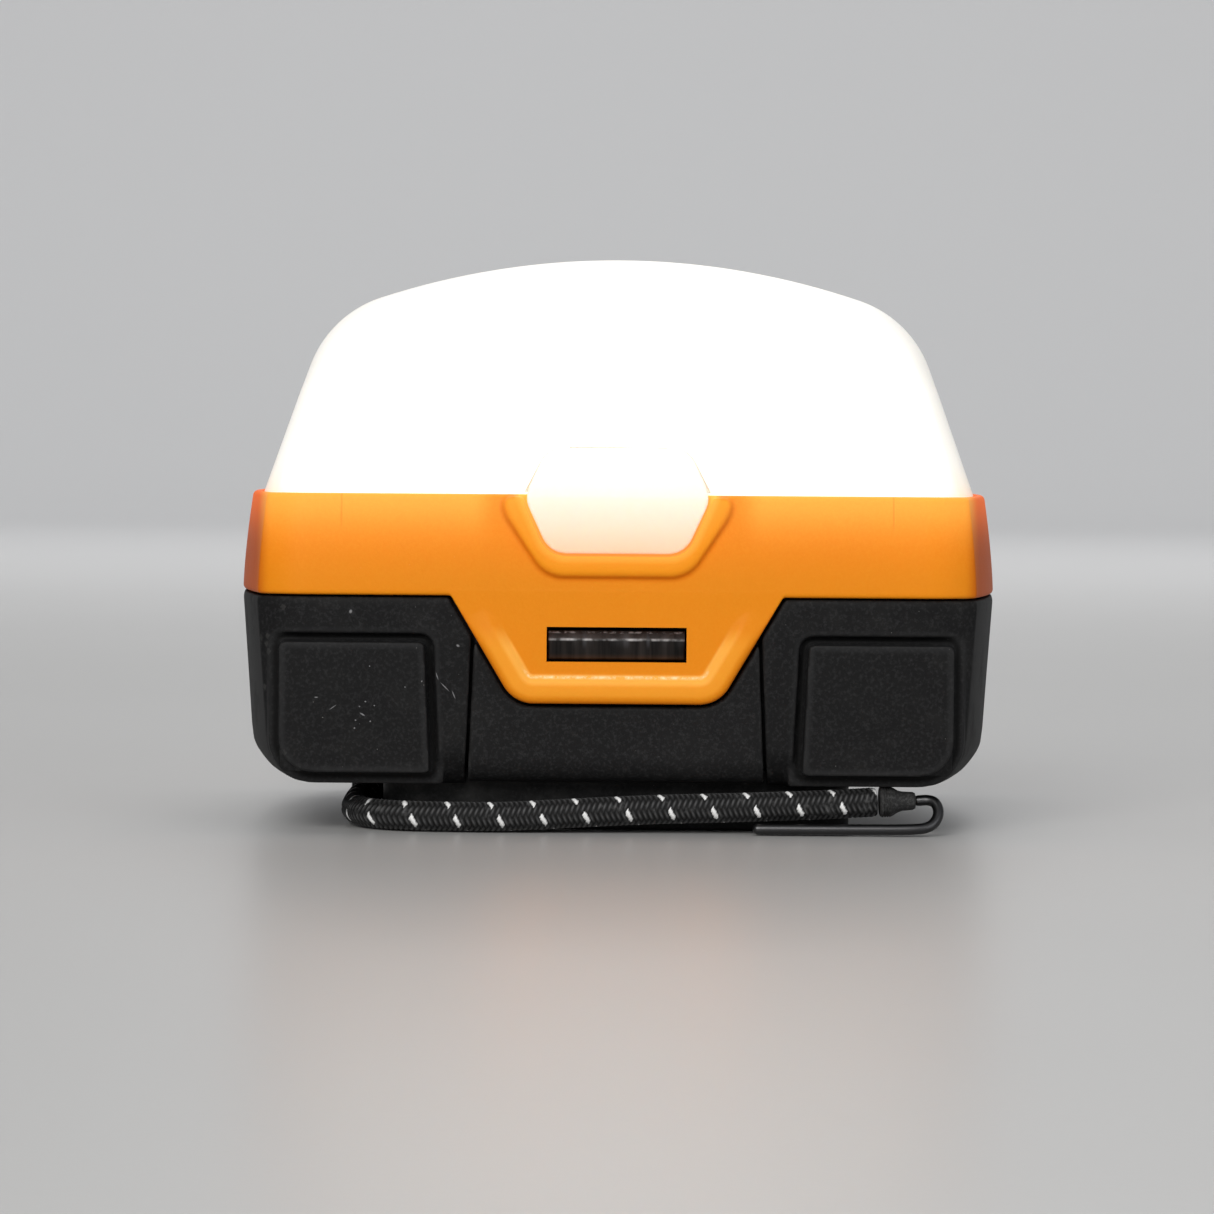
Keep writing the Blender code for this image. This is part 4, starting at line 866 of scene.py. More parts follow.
def distance_to(path, x, z):
    """Distance of each (x, z) point from a path."""
    nearest = np.full(len(x), 1e9)
    for (ax, az), (bx, bz) in zip(path, path[1:]):
        run = (bx - ax) ** 2 + (bz - az) ** 2
        share = np.clip(((x - ax) * (bx - ax) + (z - az) * (bz - az)) / run, 0.0, 1.0)
        nearest = np.minimum(nearest, np.hypot(x - ax - share * (bx - ax), z - az - share * (bz - az)))
    return nearest


def both_sides(operation, *solids):
    """The step for each solid and for its mirror image behind."""
    return [(operation, copy) for solid in solids for copy in (mirrored_y(solid), solid)]


def stands_for(item, node, body):
    """The item replaces a CAD node and moves with a body."""
    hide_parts(node)
    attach(item, body)


def screw_holes(places, *holes):
    """Steps that add or cut (operation, radius, low, high, sides) rods at each screw's place."""
    return [(operation, rod(radius, (x, y, low), (x, y, high), sides))
            for x, y in places for operation, radius, low, high, sides in holes]


# ---------------------------------------------------------------- head

def dome_profile():
    """Half-widths and heights of the dome's outside, from its foot to near its apex."""
    taper = math.radians(DOME_TAPER_DEG)
    base = HALF_WIDTH - DOME_INSET
    normal = Vector((math.cos(taper), math.sin(taper)))
    along = Vector((-math.sin(taper), math.cos(taper)))
    top_centre = Vector((0.0, DOME_APEX - DOME_TOP_RADIUS))
    start = Vector((base, COLLAR_TOP)) - normal * DOME_FILLET - top_centre
    half = start.dot(along)
    reach = DOME_TOP_RADIUS - DOME_FILLET
    slide = -half + math.sqrt(half * half - start.length_squared + reach * reach)
    centre = top_centre + start + along * slide
    top_angle = math.atan2(centre.y - top_centre.y, centre.x)
    points = [(base, DOME_FOOT + 0.9 * step) for step in range(3)]
    fillet_start = centre + normal * DOME_FILLET
    for step in range(10):
        share = step / 10
        x = base + (fillet_start.x - base) * share
        points.append((x, COLLAR_TOP + (fillet_start.y - COLLAR_TOP) * share))
    for step in range(14):
        angle = taper + (top_angle - taper) * step / 14
        points.append((centre.x + DOME_FILLET * math.cos(angle), centre.y + DOME_FILLET * math.sin(angle)))
    for step in range(17):
        angle = top_angle + (math.pi / 2 - top_angle) * step / 16.6
        points.append((DOME_TOP_RADIUS * math.cos(angle), top_centre.y + DOME_TOP_RADIUS * math.sin(angle)))
    return points


def dome_ring(half_width, z, wall):
    """One level of the dome; it turns from the plan outline into an ellipse towards the apex."""
    base_width = HALF_WIDTH - DOME_INSET
    base_depth = HALF_DEPTH - DOME_INSET
    share = half_width / base_width
    narrow = base_depth - DOME_DEPTH_TAPER * (base_width - half_width)
    half_depth = max(narrow, base_depth * share * 0.97) - wall
    half_width = half_width - wall
    corner = DOME_CORNER - wall + DOME_CORNER_GROWTH * (1 - share)
    corner = min(corner, half_depth * 0.9)
    round_share = max(0.0, 1.0 - share / 0.9) ** 0.8
    points = []
    for x, y in outline(half_width, half_depth, max(half_width * DOME_PLAN_SIDE, 0.5), corner):
        angle = math.atan2(y / half_depth, x / half_width)
        oval = (half_width * math.cos(angle), half_depth * math.sin(angle))
        points.append((x + (oval[0] - x) * round_share, y + (oval[1] - y) * round_share, z))
    return points


def make_dome(material):
    """Milky shell with the button's opening in its front."""
    profile = dome_profile()
    shoulder = COLLAR_TOP + 8
    outside = [dome_ring(half_width, z, 0.0) for half_width, z in profile]
    inside = []
    for half_width, z in profile:
        if half_width > 3 * DOME_WALL and not shoulder <= z <= shoulder + 2:
            inside.append(dome_ring(half_width, z if z < shoulder else z - DOME_WALL, DOME_WALL))
    corners = [(BUTTON_CORNERS[1][0], DOME_OPENING_LOW), BUTTON_CORNERS[2], BUTTON_CORNERS[3],
               (BUTTON_CORNERS[4][0], DOME_OPENING_LOW)]
    opening = moved_out(rounded(corners, BUTTON_ROUND, closed=False), OPENING_GAP, closed=False)
    dome = combined("dome_shell", loft(list(reversed(inside)) + outside),
                    [("DIFFERENCE", prism_y(opening, HALF_DEPTH + 3, 20.0))])
    finished(dome, material, 40)
    stands_for(dome, "diffuser_dome", "head")


def collar_inset(z):
    """Inset of the collar's outside, which leans in more and more towards its top."""
    share = (z - COLLAR_BOTTOM) / (COLLAR_TOP - 0.7 - COLLAR_BOTTOM)
    return 0.1 + 0.94 * max(0.0, share) ** 1.5


def collar_face(z):
    """Depth of the collar's front face at height z."""
    return HALF_DEPTH - collar_inset(z)


def tongue_path(top, extra=0.0):
    """Edge of the tongue from its left top, down and round to its right top, moved outwards by extra."""
    slope = (TONGUE_TOP_HALF - TONGUE_BOTTOM_HALF) / (COLLAR_BOTTOM - TONGUE_BOTTOM)
    top_half = TONGUE_BOTTOM_HALF + slope * (top - TONGUE_BOTTOM)
    corners = [(-top_half, top), (-TONGUE_BOTTOM_HALF, TONGUE_BOTTOM),
               (TONGUE_BOTTOM_HALF, TONGUE_BOTTOM), (top_half, top)]
    return moved_out(rounded(corners, TONGUE_CORNER, closed=False), extra, closed=False)


def make_collar(material):
    """Orange ring with its ledge, tongues, lips, rim, recess and windows."""
    levels = [COLLAR_BOTTOM + 0.35 + step * 0.8 for step in range(12)] + [COLLAR_TOP - 0.65]
    sections = [(0.45, COLLAR_BOTTOM), (0.22, COLLAR_BOTTOM + 0.08), (0.12, COLLAR_BOTTOM + 0.2)]
    sections += [(collar_inset(z), z) for z in levels]
    sections += [
        (1.08, 34.1), (1.16, 34.28), (1.3, 34.43), (1.5, COLLAR_TOP), (1.8, COLLAR_TOP),
        (2.0, COLLAR_TOP - 0.15), (2.0, LEDGE_TOP), (5.5, LEDGE_TOP), (5.5, LEDGE_BOTTOM),
        (2.0, LEDGE_BOTTOM), (2.0, COLLAR_BOTTOM),
    ]
    bm = loft([ring(z, inset) for inset, z in sections], closed=True)
    plate = prism_y(tongue_path(COLLAR_BOTTOM + 0.6), TONGUE_FACE, TONGUE_BACK)
    edge = tongue_path(LIP_TOP, -0.02)
    lip_profile = [(0.0, 0.1), (0.03, 0.24), (0.08, 0.38), (0.16, 0.5), (0.27, 0.57), (0.4, 0.6), (0.58, 0.6),
                   (0.66, 0.57), (0.74, 0.44), (0.83, 0.24), (0.91, 0.08), (1.0, -0.04)]
    lip = bead(edge, moved_out(edge, -LIP_WIDTH, closed=False), lip_profile, lambda z: TONGUE_FACE, LIP_FADE)
    outer = rounded(RIM_CORNERS, RIM_ROUNDS, closed=False)
    hexagon = [BUTTON_CORNERS[4], BUTTON_CORNERS[5], BUTTON_CORNERS[0], BUTTON_CORNERS[1]]
    inner = moved_out(rounded(hexagon, BUTTON_ROUND, closed=False), 0.2, closed=False)
    rim_profile = [(0.0, -0.12), (0.03, 0.12), (0.09, 0.38), (0.18, 0.57), (0.3, 0.68), (0.45, RIM_PROUD),
                   (0.62, RIM_PROUD), (0.78, 0.68), (0.9, 0.6), (1.0, 0.5)]
    rim = bead(outer, inner, rim_profile, collar_face)
    recess = prism_y(moved_out(rounded(BUTTON_CORNERS, BUTTON_ROUND), GAP), HALF_DEPTH + 3, BUTTON_RECESS)
    window = block((-WINDOW_HALF, -LIP_FACE - 1, WINDOW_LOW), (WINDOW_HALF, -TONGUE_BACK + 1, WINDOW_HIGH))
    relief = block((-WINDOW_HALF - 0.2, -RELIEF_FACE, TONGUE_BOTTOM - 1),
                   (WINDOW_HALF + 0.2, -TONGUE_BACK + 1, WINDOW_LOW + 0.2))
    steps = both_sides("UNION", plate, lip) + [("UNION", rim), ("DIFFERENCE", recess)]
    steps += both_sides("DIFFERENCE", relief)
    steps += screw_holes(CHASSIS_SCREWS, ("DIFFERENCE", SCREW_BORE, LEDGE_BOTTOM - 1, LEDGE_TOP - 0.3, 40))
    windows = both_sides("DIFFERENCE", window)
    collar = moulded(combined("collar_moulding", bm, steps), material, 0.15, 6, windows, 50)
    x, y, z = points_of(collar).T
    skin = (np.abs(y) > 26.0) & (z < COLLAR_BOTTOM + 1)
    mark(collar, "lip", np.where(skin, distance_to(tongue_path(LIP_TOP), x, z), NOT_NEAR))
    front = (y < -25.0) & (z > RIM_LOW - 2)
    mark(collar, "rim", np.where(front, distance_to(outer, x, z), NOT_NEAR))
    reach = distance_to(inner, x, z)
    # Share of each point on the rim's ridge, where the orange material paints a highlight.
    rim_crest_highlight = np.clip((reach - 0.3) / 0.5, 0, 1) * np.clip((2.2 - reach) / 0.6, 0, 1)
    mark(collar, "rim_crest_highlight", np.where(front, rim_crest_highlight, 0.0))
    lit = np.clip(1.0 - reach / 0.9, 0.0, 1.0)
    inside = (y < -24.0) & (y > -26.9) & (np.abs(x) < 10.0) & (z > RIM_LOW + 1)
    mark(collar, "lit", np.where(inside, 1.0, np.where(front, lit, 0.0)))
    stands_for(collar, "collar", "head")


def make_button(material):
    """Push button with an upright lower facet, a leaning upper facet and a skirt through the dome."""
    edge = moved_out(rounded(BUTTON_CORNERS, BUTTON_ROUND), 0.06)
    bm = prism_y(edge, BUTTON_FACE_LOW + 0.1, BUTTON_SKIRT_END)
    slope = (BUTTON_FACE_LOW - BUTTON_FACE_CREASE) / (BUTTON_CREASE - BUTTON_LOW)
    shave_front(bm, -BUTTON_FACE_LOW, BUTTON_LOW, slope)
    shave_front(bm, -BUTTON_FACE_CREASE, BUTTON_CREASE, BUTTON_LEAN)
    steps = [
        ("DIFFERENCE", block((-12, -BUTTON_BACK, 20), (12, -20, BUTTON_BOSS_LOW))),
        ("DIFFERENCE", prism_y(moved_out(edge, -BUTTON_SKIRT), BUTTON_BOSS_BACK, 20.0)),
        ("UNION", rod(1.8, (0, -BUTTON_BOSS_BACK - 0.8, SWITCH_Z), (0, -BUTTON_STEM_END, SWITCH_Z))),
    ]
    button = moulded(combined("button_cap", bm, steps), material, 0.14, 8)
    stands_for(button, "power_button", "power_button")


# ---------------------------------------------------------------- base

def panel_half(z):
    """Half-width of the central panel at height z."""
    share = (BASE_TOP - z) / (BASE_TOP - BUMPER_BOTTOM)
    return PANEL_HALF_TOP + (PANEL_HALF_BOTTOM - PANEL_HALF_TOP) * share


def tongue_pocket(back):
    """Space for the front tongue in the base."""
    return prism_y(tongue_path(COLLAR_BOTTOM + 0.5, GAP), LIP_FACE + 1.5, back)


def make_tub(material):
    """Battery tub with its panels, pockets, catch slots, spigot, bosses and cell bay."""
    sections = [
        (5.6, TUB_BOTTOM), (4.6, 6.8), (3.9, 7.3), (3.3, TUB_FLOOR), (2.2, BASE_TOP), (2.5, BASE_TOP),
        (2.5, 24.9), (3.4, 24.9), (3.4, 25.9), (2.5, 25.9), (2.5, SPIGOT_TOP), (4.2, SPIGOT_TOP),
        (4.6, TUB_FLOOR),
    ]
    low = BUMPER_BOTTOM + 0.3
    corners = [(-panel_half(low), low), (panel_half(low), low), (panel_half(BASE_TOP), BASE_TOP),
               (-panel_half(BASE_TOP), BASE_TOP)]
    panel = prism_y(corners, PANEL_FACE, 23.7)
    centre = Vector((0.0, PANEL_ROUND - PANEL_FACE, low + PANEL_ROUND))
    for step in range(1, PANEL_ROUND_STEPS):
        angle = math.pi / 2 * step / PANEL_ROUND_STEPS
        normal = Vector((0.0, -math.cos(angle), -math.sin(angle)))
        shave(panel, centre + normal * PANEL_ROUND, normal)
    slot = block((-CATCH_HALF - GAP, -28, CATCH_LOW - GAP), (CATCH_HALF + GAP, -22.5, CATCH_HIGH + GAP))
    rib = block((-3.5, -CATCH_RIB_FRONT, TUB_FLOOR - 0.5), (3.5, -CATCH_RIB_BACK, 22.2))
    spring_pocket = rod(2.3, (0, -CATCH_RIB_FRONT - 1, CATCH_SPRING_Z),
                        (0, -CATCH_POCKET_BACK, CATCH_SPRING_Z))
    steps = both_sides("UNION", panel) + both_sides("DIFFERENCE", tongue_pocket(25.5), slot)
    steps += both_sides("UNION", rib) + both_sides("DIFFERENCE", spring_pocket)
    for side in (-1, 1):
        near, far = sorted((side * (CELL_PLATE_X + 0.7), side * (CELL_PLATE_X + 2.2)))
        steps.append(("UNION", block((near, -16.0, TUB_FLOOR - 0.5), (far, 16.0, 19.3))))
    steps += screw_holes(FOOT_SCREWS, ("UNION", 2.3, TUB_FLOOR - 0.5, 13.0, 40),
                         ("DIFFERENCE", SCREW_BORE, TUB_BOTTOM - 1, 12.5, 24))
    start = loft([ring(z, inset) for inset, z in sections])
    tub = moulded(combined("tub_moulding", start, steps), material, 0.22, 4)
    stands_for(tub, "base_tub", "base")


def pad_outline(side, grow=0.0):
    """Edge of a front bumper's pad, with a large lower outer corner, moved outwards to bound the groove."""
    low = PAD_LOW - grow
    high = PAD_HIGH + grow
    outer = PAD_OUTER + grow
    inner_low = PAD_INNER_LOW - grow * 1.15
    inner_top = PAD_INNER_TOP - grow
    corners = [(-outer, high), (-outer, low), (-inner_low, low), (-inner_top, high)]
    points = rounded(corners, [0.5, PAD_CORNER + grow, 0.3, 0.5 + grow])
    return [(-side * x, z) for x, z in points]


def pad_solid(side, grow, front):
    """Raised pad of a front bumper, or the groove round it."""
    return prism_y(pad_outline(side, grow), front, 23.9)


def inside_pad(x, z):
    """Whether each (x, z) point of either bumper lies on its pad."""
    share = (PAD_HIGH - z) / (PAD_HIGH - PAD_LOW)
    inner = PAD_INNER_TOP + (PAD_INNER_LOW - PAD_INNER_TOP) * share
    return (np.abs(x) > inner) & (np.abs(x) < PAD_OUTER) & (z > PAD_LOW) & (z < PAD_HIGH)


def make_bumper(side, material):
    """Rubber boot round one end of the base, with a pad in front and one behind."""
    sections = [
        (BUMPER_BOTTOM, 5.6, 4.8), (4.9, 4.8, 4.1), (5.15, 4.1, 3.5), (5.55, 3.45, 2.9), (5.95, 2.9, 2.4),
        (6.5, 2.4, 1.85), (7.1, 1.95, 1.4), (7.7, 1.55, 1.05), (8.4, 1.25, 0.82), (10.0, 1.05, 0.75),
        (16.0, 0.65, 0.62), (BASE_TOP - 0.5, 0.12, 0.5), (BASE_TOP, 0.25, 0.62),
    ]
    room = [(5.3, TUB_BOTTOM - GAP), (3.6, 7.1), (3.0, TUB_FLOOR - 0.1), (1.9, BASE_TOP + 0.5)]
    mouth = outline(31.0, 22.0, 60.0, 4.0)
    far = HALF_WIDTH + 2
    low = BUMPER_BOTTOM - 1
    high = BASE_TOP + 1
    away = [(side * (panel_half(low) + GAP), low), (-side * far, low), (-side * far, high),
            (side * (panel_half(high) + GAP), high)]
    groove = pad_solid(side, GROOVE_WIDTH, HALF_DEPTH + 2)
    floor = pad_solid(side, GROOVE_WIDTH + 0.4, GROOVE_FACE)
    steps = both_sides("DIFFERENCE", groove) + both_sides("UNION", floor, pad_solid(side, 0.0, PAD_FACE)) + [
        ("DIFFERENCE", loft([ring(z, inset) for inset, z in room])),
        ("DIFFERENCE", loft([[(x, y, z) for x, y in mouth] for z in (low, TUB_BOTTOM)])),
        ("DIFFERENCE", prism_y(away, HALF_DEPTH + 2, -HALF_DEPTH - 2)),
    ] + both_sides("DIFFERENCE", tongue_pocket(25.0))
    name = "right" if side > 0 else "left"
    solid = combined(f"bumper_boot_{name}", loft([ring(*section) for section in sections]), steps)
    bumper = moulded(solid, material, 0.2, 10)
    x, y, z = points_of(bumper).T
    edge = pad_outline(side)
    distance = distance_to(edge + edge[:1], x, z)
    distance = np.where(inside_pad(x, z), -distance, distance)
    mark(bumper, "pad", np.where(np.abs(y) > 24.5, distance, NOT_NEAR))
    stands_for(bumper, f"bumper_{name}", "base")


def make_catch(side, material):
    """Sprung catch: its nose, with a sloped upper edge, shows in the tongue's window."""
    nose = block((-CATCH_HALF - 0.1, -CATCH_NOSE, CATCH_LOW - 0.22),
                 (CATCH_HALF + 0.1, -CATCH_FLANGE_FRONT + 0.2, CATCH_HIGH + 0.1))
    shave(nose, (0.0, -CATCH_NOSE, CATCH_CREASE), Vector((0.0, -0.82, 0.57)))
    flange = block((-CATCH_FLANGE_HALF, -CATCH_FLANGE_FRONT, CATCH_FLANGE_LOW),
                   (CATCH_FLANGE_HALF, -CATCH_FLANGE_BACK, CATCH_FLANGE_HIGH))
    if side > 0:
        nose = mirrored_y(nose)
        flange = mirrored_y(flange)
    name = "rear" if side > 0 else "front"
    catch = moulded(combined(f"catch_moulding_{name}", nose, [("UNION", flange)]), material, 0.11, 4)
    stands_for(catch, f"release_catch_{name}", f"release_catch_{name}")


def make_foot(material):
    """Foot with rounded lower edge, magnet pocket and counterbored holes."""
    levels = [(0.0, 0.3), (0.03, 0.2), (0.09, 0.1), (0.18, 0.03), (0.3, 0.0), (FOOT_TOP, 0.0)]
    rings = []
    for z, inset in levels:
        flat = outline(FOOT_HALF_WIDTH - inset, FOOT_HALF_DEPTH - inset, FOOT_SIDE_RADIUS,
                       FOOT_CORNER - inset)
        rings.append([(x, y, z) for x, y in flat])
    pocket = rod(MAGNET_POCKET_RADIUS, (0, 0, MAGNET_POCKET_FLOOR), (0, 0, FOOT_TOP + 1), 64)
    steps = [("DIFFERENCE", pocket), ("UNION", block(*CORD_BRACKET))]
    steps += screw_holes(FOOT_SCREWS, ("DIFFERENCE", 2.2, -1, 2.2, 32),
                         ("DIFFERENCE", 1.1, 1, FOOT_TOP + 1, 24))
    foot = finished(combined("foot_moulding", loft(rings), steps), material, 35)
    stands_for(foot, "foot_plate", "base")


# ---------------------------------------------------------------- cord and hook

def circles(points, facets):
    """Tangents of a path, and a unit circle square to the path at each of its points."""
    tangents = np.gradient(points, axis=0)
    tangents /= np.linalg.norm(tangents, axis=1)[:, None]
    sides = np.cross(tangents, (0.0, 0.0, 1.0))
    sides /= np.linalg.norm(sides, axis=1)[:, None]
    ups = np.cross(sides, tangents)
    angles = np.linspace(0.0, 2 * np.pi, facets, endpoint=False)[None, :, None]
    return tangents, np.cos(angles) * sides[:, None, :] + np.sin(angles) * ups[:, None, :]


def yarn_on_top(along, around):
    """Height of the braid and the tracer's share where a point lies along and around the cord, in yarns."""
    first = along + around
    second = along - around
    over = np.mod(np.floor(first) - np.floor(second), 4) < 2
    across = np.where(over, np.mod(first, 1.0), np.mod(second, 1.0))
    passed = np.where(over, second - np.floor(first) + 1, first - np.floor(second))
    float_place = np.mod(passed, 2.0) / 2.0
    height = np.sin(np.pi * across) ** 0.8 * (0.45 + 0.55 * np.sin(np.pi * float_place) ** 0.7)
    tracer = over & (np.mod(np.floor(first), YARNS) == 0) & (np.abs(across - 0.5) < TRACER_HALF_WIDTH)
    return height, tracer


def make_cord(material):
    """Braided elastic cord: two hands of yarns, two over and two under, with one white tracer yarn."""
    route = np.array(smooth_path(CORD_ROUTE, 0.09))
    length = distances(route)[-1]
    count = int(length / CORD_ROW)
    points = resampled(route, count)
    even = np.linspace(0.0, length, count)
    _, rims = circles(points, CORD_FACETS)
    along = (even / BRAID_LEAD * YARNS + TRACER_SHIFT)[:, None]
    angles = np.linspace(0.0, 2 * np.pi, CORD_FACETS, endpoint=False)
    height, tracer = yarn_on_top(along, (angles / (2 * np.pi) * YARNS)[None, :] + TRACER_TURN)
    pinch = np.clip(np.minimum(even, length - even) / 0.5, 0.0, 1.0)[:, None]
    radius = (CORD_DIAMETER / 2 - BRAID_RELIEF * (1.0 - height)) * (0.86 + 0.14 * np.sqrt(pinch))
    verts = (points[:, None, :] + rims * radius[:, :, None]).reshape(-1, 3)
    rows = np.arange(count - 1)[:, None] * CORD_FACETS
    columns = np.arange(CORD_FACETS)
    nexts = (columns + 1) % CORD_FACETS
    sides = np.stack([rows + columns, rows + CORD_FACETS + columns, rows + CORD_FACETS + nexts, rows + nexts],
                     axis=-1)
    first_cap = [(len(verts), here, after) for here, after in zip(columns, nexts)]
    last_row = len(verts) - CORD_FACETS
    last_cap = [(len(verts) + 1, last_row + after, last_row + here) for here, after in zip(columns, nexts)]
    mesh = bpy.data.meshes.new("cord_braided")
    verts = np.concatenate([verts, points[:1], points[-1:]]) * MM
    mesh.from_pydata(verts.tolist(), [], sides.reshape(-1, 4).tolist() + first_cap + last_cap)
    cord = in_scene("cord_braided", mesh)
    mark(cord, "tracer", np.append(tracer, [0.0, 0.0]))
    mark(cord, "relief", np.append(height, [0.0, 0.0]))
    mesh.materials.append(material)
    mesh.shade_smooth()
    stands_for(cord, "cord", "base")
    return cord, [tuple(p * MM) for p in points[::12]] + [tuple(points[-1] * MM)], length * MM


def wire(name, route, diameter, material):
    """Round wire with domed ends."""
    points = np.array(smooth_path(route, 0.25))
    tangents, rims = circles(points, WIRE_FACETS)
    radius = diameter / 2
    rings = list(points[:, None, :] + rims * radius)
    for step in range(1, WIRE_CAP_STEPS + 1):
        lift = math.sin(math.pi / 2 * step / WIRE_CAP_STEPS) * 0.98
        shrink = math.sqrt(1 - lift * lift)
        for end, sense in ((0, -1), (-1, 1)):
            cap = points[end] + (tangents[end] * sense * lift + rims[end] * shrink) * radius
            rings.insert(len(rings) if end else 0, cap)
    return finished(stored(name, loft(rings)), material)


def turned(name, profile, start, heading, material):
    """Turned solid of a (radius, height) profile that stands at start and points along heading."""
    turn = heading.to_track_quat("Z", "Y").to_matrix()
    around = [2 * math.pi * step / TURNED_FACETS for step in range(TURNED_FACETS)]
    rings = [[start + turn @ Vector((radius * math.cos(angle), radius * math.sin(angle), height))
              for angle in around] for radius, height in profile]
    return finished(stored(name, loft(rings)), material, 50)


def ribbed(radius, groove_radius, first, pitch, count, shape):
    """Profile points of equal grooves; shape holds the three rises within one groove."""
    points = []
    for index in range(count):
        place = first + pitch * index
        points += [(radius, place), (groove_radius, place + shape[0]), (groove_radius, place + shape[1]),
                   (radius, place + shape[2])]
    return points


def make_hook(wire_material, plastic_material):
    """Crimp, hook and anchor of the cord."""
    end = Vector(CORD_ROUTE[-1])
    heading = (end - Vector(CORD_ROUTE[-2])).normalized()
    start = end + heading * GAP
    tip = Vector(HOOK_ROUTE[0]) - heading * GAP
    length = (tip - start).length
    profile = [(1.3, 0.0), (1.5, 0.06), (1.6, 0.25)] + ribbed(1.6, 1.52, 0.35, 0.25, 3, (0.06, 0.12, 0.18))
    profile += [(1.55, 1.15), (1.36, 1.5), (1.12, 1.9), (1.0, 2.3), (0.92, length - 0.3),
                (0.8, length - 0.05), (0.65, length)]
    crimp = turned("crimp_sleeve", profile, start, tip - start, plastic_material)
    stands_for(crimp, "cord_crimp", "base")
    hook = wire("hook_bent_wire", HOOK_ROUTE, HOOK_WIRE, wire_material)
    stands_for(hook, "cord_hook", "base")
    profile = [(1.55, 0.0), (1.75, 0.08), (1.95, 0.4), (2.0, 0.7)]
    profile += ribbed(2.0, 1.82, 0.9, 0.8, 4, (0.12, 0.4, 0.52)) + [(2.0, 4.4), (1.8, 4.8), (1.5, 5.0)]
    rear = Vector((0.0, 1.0, 0.0))
    anchor = turned("anchor_gland", profile, Vector(CORD_ROUTE[0]) + rear * GAP, rear, plastic_material)
    stands_for(anchor, "cord_anchor", "base")
    return crimp, hook


# ---------------------------------------------------------------- carried-over nodes

def dress(names, material, bevel=0.0):
    """Give CAD nodes a better material, and a softened edge where a width is stated."""
    for name in names:
        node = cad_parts[name]
        node.data.materials.clear()
        node.data.materials.append(material)
        if bevel:
            modifier = node.modifiers.new("soft_edge", "BEVEL")
            modifier.width = bevel * MM
            modifier.segments = 3
            modifier.limit_method = "ANGLE"
            modifier.angle_limit = math.radians(35)


def numbered(stem, count):
    """Names of a family of nodes."""
    return [f"{stem}_{number}" for number in range(1, count + 1)]


def dress_frame():
    """Materials of every CAD node that shows as itself."""
    screws = numbered("chassis_screw", 4) + numbered("foot_screw", 4) + numbered("led_board_screw", 2)
    springs = numbered("battery_spring", 3) + ["catch_spring_front", "catch_spring_rear"]
    dress(screws, metal_material("screw_steel", (0.62, 0.61, 0.58)), 0.1)
    dress(springs, metal_material("spring_wire", (0.66, 0.64, 0.60), 0.26))
    dress(["contact_plate_left", "contact_plate_right"],
          metal_material("contact_nickel", (0.74, 0.71, 0.64), 0.25), 0.08)
    dress(["contact_pin_left", "contact_pin_right"], metal_material("contact_gold", (0.86, 0.66, 0.28), 0.22))
    dress(["tactile_switch"], metal_material("switch_can", (0.62, 0.62, 0.63), 0.3), 0.15)
    dress(["foot_magnet"], metal_material("magnet_nickel", (0.66, 0.65, 0.64), 0.2), 0.1)
    dress(["switch_plunger"], dark_plastic("plunger_black", (0.03, 0.03, 0.03), (0.05, 0.05, 0.05), 0.4), 0.1)
    dress(["dome_gasket"], dark_plastic("seal_black", (0.03, 0.03, 0.03), (0.05, 0.05, 0.05), 0.62))
    dress(["base_gasket"], light_plastic("seal_red", (0.20, 0.025, 0.02), (0.28, 0.04, 0.03), 0.6), 0.15)
    dress(["chassis_plate"], light_plastic("chassis_grey", (0.62, 0.62, 0.60), (0.70, 0.70, 0.68)), 0.15)
    dress(["reflector_sheet"], light_plastic("reflector_white", (0.86, 0.86, 0.84), (0.92, 0.92, 0.90), 0.3))
    dress(["driver_board", "switch_board"],
          board_material("board_green", (0.012, 0.10, 0.045), (0.02, 0.15, 0.07)))
    dress(["led_board"], board_material("board_white", (0.74, 0.75, 0.73), (0.82, 0.83, 0.81)))
    dress(numbered("led", 6), led_material())
    dress(numbered("battery", 3), battery_material(), 0.12)


# ---------------------------------------------------------------- stage, light and camera

def make_stage():
    """Pale floor that sweeps up into a backdrop."""
    bm = bmesh.new()
    half = 3.0
    bend = 0.9
    profile = [(-8.0, 0.0), (-3.0, 0.0)] + [(-1.5 + 0.25 * i, 0.0) for i in range(13)]
    for step in range(1, 25):
        angle = math.pi / 2 * step / 24
        profile.append((1.5 + bend * math.sin(angle), bend * (1 - math.cos(angle))))
    profile.append((1.5 + bend, 4.0))
    rows = [[bm.verts.new((x, y, z - 0.00002)) for y, z in profile] for x in (-half, half)]
    for index in range(len(profile) - 1):
        bm.faces.new((rows[0][index], rows[1][index], rows[1][index + 1], rows[0][index + 1]))
    mesh = bpy.data.meshes.new("pale_floor")
    bm.to_mesh(mesh)
    bm.free()
    floor = in_scene("pale_floor", mesh)
    mesh.shade_smooth()
    n = Nodes("floor_pale")
    near = n.mix(n.noise(7.0, 3.0), (0.43, 0.427, 0.42), (0.46, 0.457, 0.45))
    far = n.between(n.axis("Y"), 0.2, 1.4)
    n.set(Base_Color=n.over(near, (far, (0.80, 0.80, 0.80))), Roughness=0.34, Specular_IOR_Level=0.35)
    mesh.materials.append(n.bump((n.noise(900.0, 3.0), 0.01)))


def soft_light(name, place, target, size, power, colour=(1.0, 1.0, 1.0)):
    """Square softbox aimed at a point."""
    data = bpy.data.lights.new(name, "AREA")
    data.shape = "SQUARE"
    data.size = size
    data.energy = power
    data.color = colour
    lamp = in_scene(name, data)
    lamp.location = place
    lamp.rotation_euler = (Vector(target) - Vector(place)).to_track_quat("-Z", "Y").to_euler()


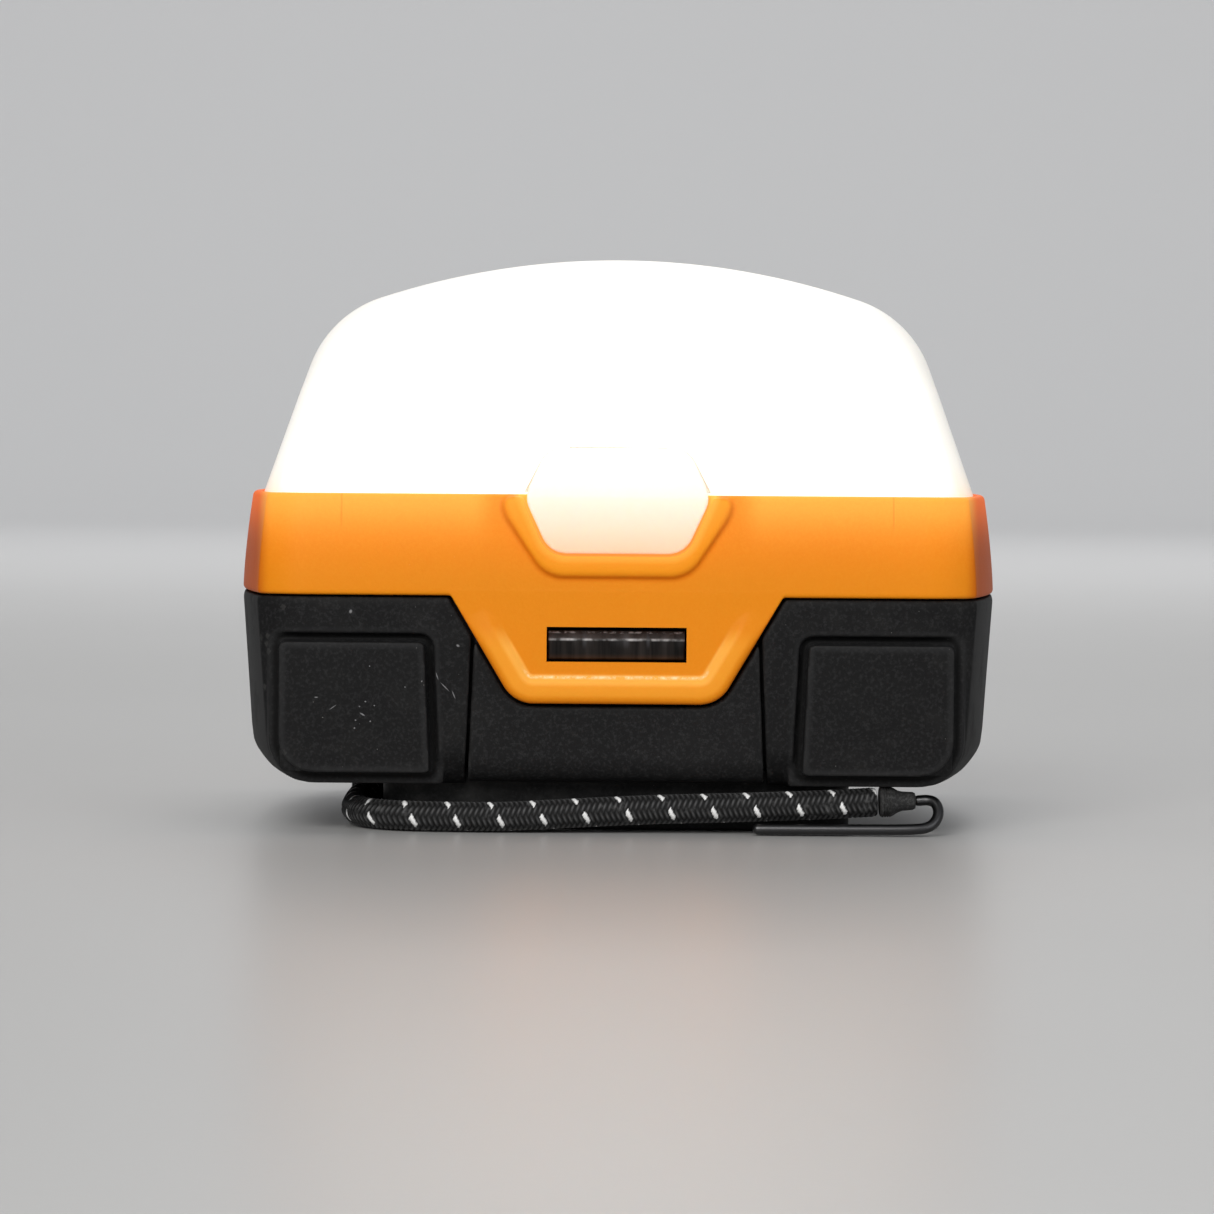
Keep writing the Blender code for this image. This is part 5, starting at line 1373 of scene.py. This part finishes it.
def make_lights():
    """Soft studio light: key from the upper left, weak fill from the right, and a wash on the backdrop."""
    soft_light("key_softbox", (-0.32, -1.05, 0.62), (0, 0, 0.02), 0.7, 10.5, (1.0, 0.985, 0.96))
    soft_light("fill_softbox", (0.75, -0.85, 0.40), (0, 0, 0.02), 0.7, 2.6, (0.97, 0.985, 1.0))
    soft_light("rear_softbox", (0.1, 0.9, 0.8), (0, 0, 0.03), 0.6, 2.5)
    soft_light("backdrop_softbox", (0.0, 0.4, 1.9), (0, 2.3, 0.6), 1.6, 17.0)
    world = bpy.data.worlds.new("studio")
    world.use_nodes = True
    background = world.node_tree.nodes["Background"]
    background.inputs["Color"].default_value = (0.95, 0.965, 1.0, 1.0)
    background.inputs["Strength"].default_value = 0.30
    bpy.context.scene.world = world


def make_camera():
    """Long lens, just above the collar's height and a little to the right, looking slightly down."""
    data = bpy.data.cameras.new("photo_camera")
    data.lens = 133.3
    data.sensor_width = 36.0
    data.clip_start = 0.01
    camera = in_scene("photo_camera", data)
    camera.location = (0.0025, -0.4826, 0.0404)
    turn = Quaternion((0.0, 0.0, 1.0), math.radians(0.44))
    pitch = Quaternion((1.0, 0.0, 0.0), math.radians(90.0 - 2.17))
    roll = Quaternion((0.0, 0.0, 1.0), math.radians(0.42))
    camera.rotation_mode = "QUATERNION"
    camera.rotation_quaternion = turn @ pitch @ roll
    bpy.context.scene.camera = camera
    bpy.context.scene.view_settings.view_transform = "Standard"


def main():
    """Build every piece round the frame."""
    make_camera()
    hard_black = dark_plastic("base_black", (0.007, 0.007, 0.0073), (0.011, 0.011, 0.0113), 0.38,
                              grain_scale=3000.0, dust=0.2)
    rubber = dark_plastic("bumper_rubber", (0.006, 0.006, 0.0063), (0.010, 0.010, 0.0103), 0.50,
                          grain_scale=2600.0, relief=0.016, dust=0.45, flecks=LINT, pad_light_and_shade=PAD_LIGHT_AND_SHADE_BANDS)
    cord_plastic = dark_plastic("fitting_black", (0.02, 0.02, 0.02), (0.035, 0.035, 0.035), 0.4)
    cord, path, length = make_cord(cord_material())
    crimp, hook = make_hook(metal_material("hook_black", (0.07, 0.07, 0.072), 0.36, (900.0, 900.0, 900.0)),
                            cord_plastic)
    make_dome(dome_material())
    make_collar(orange_material())
    make_button(button_material())
    make_tub(hard_black)
    for side in (-1, 1):
        make_bumper(side, rubber)
    make_foot(hard_black)
    catch_black = catch_material()
    for side in (-1, 1):
        make_catch(side, catch_black)
    dress_frame()
    make_stage()
    make_lights()


main()
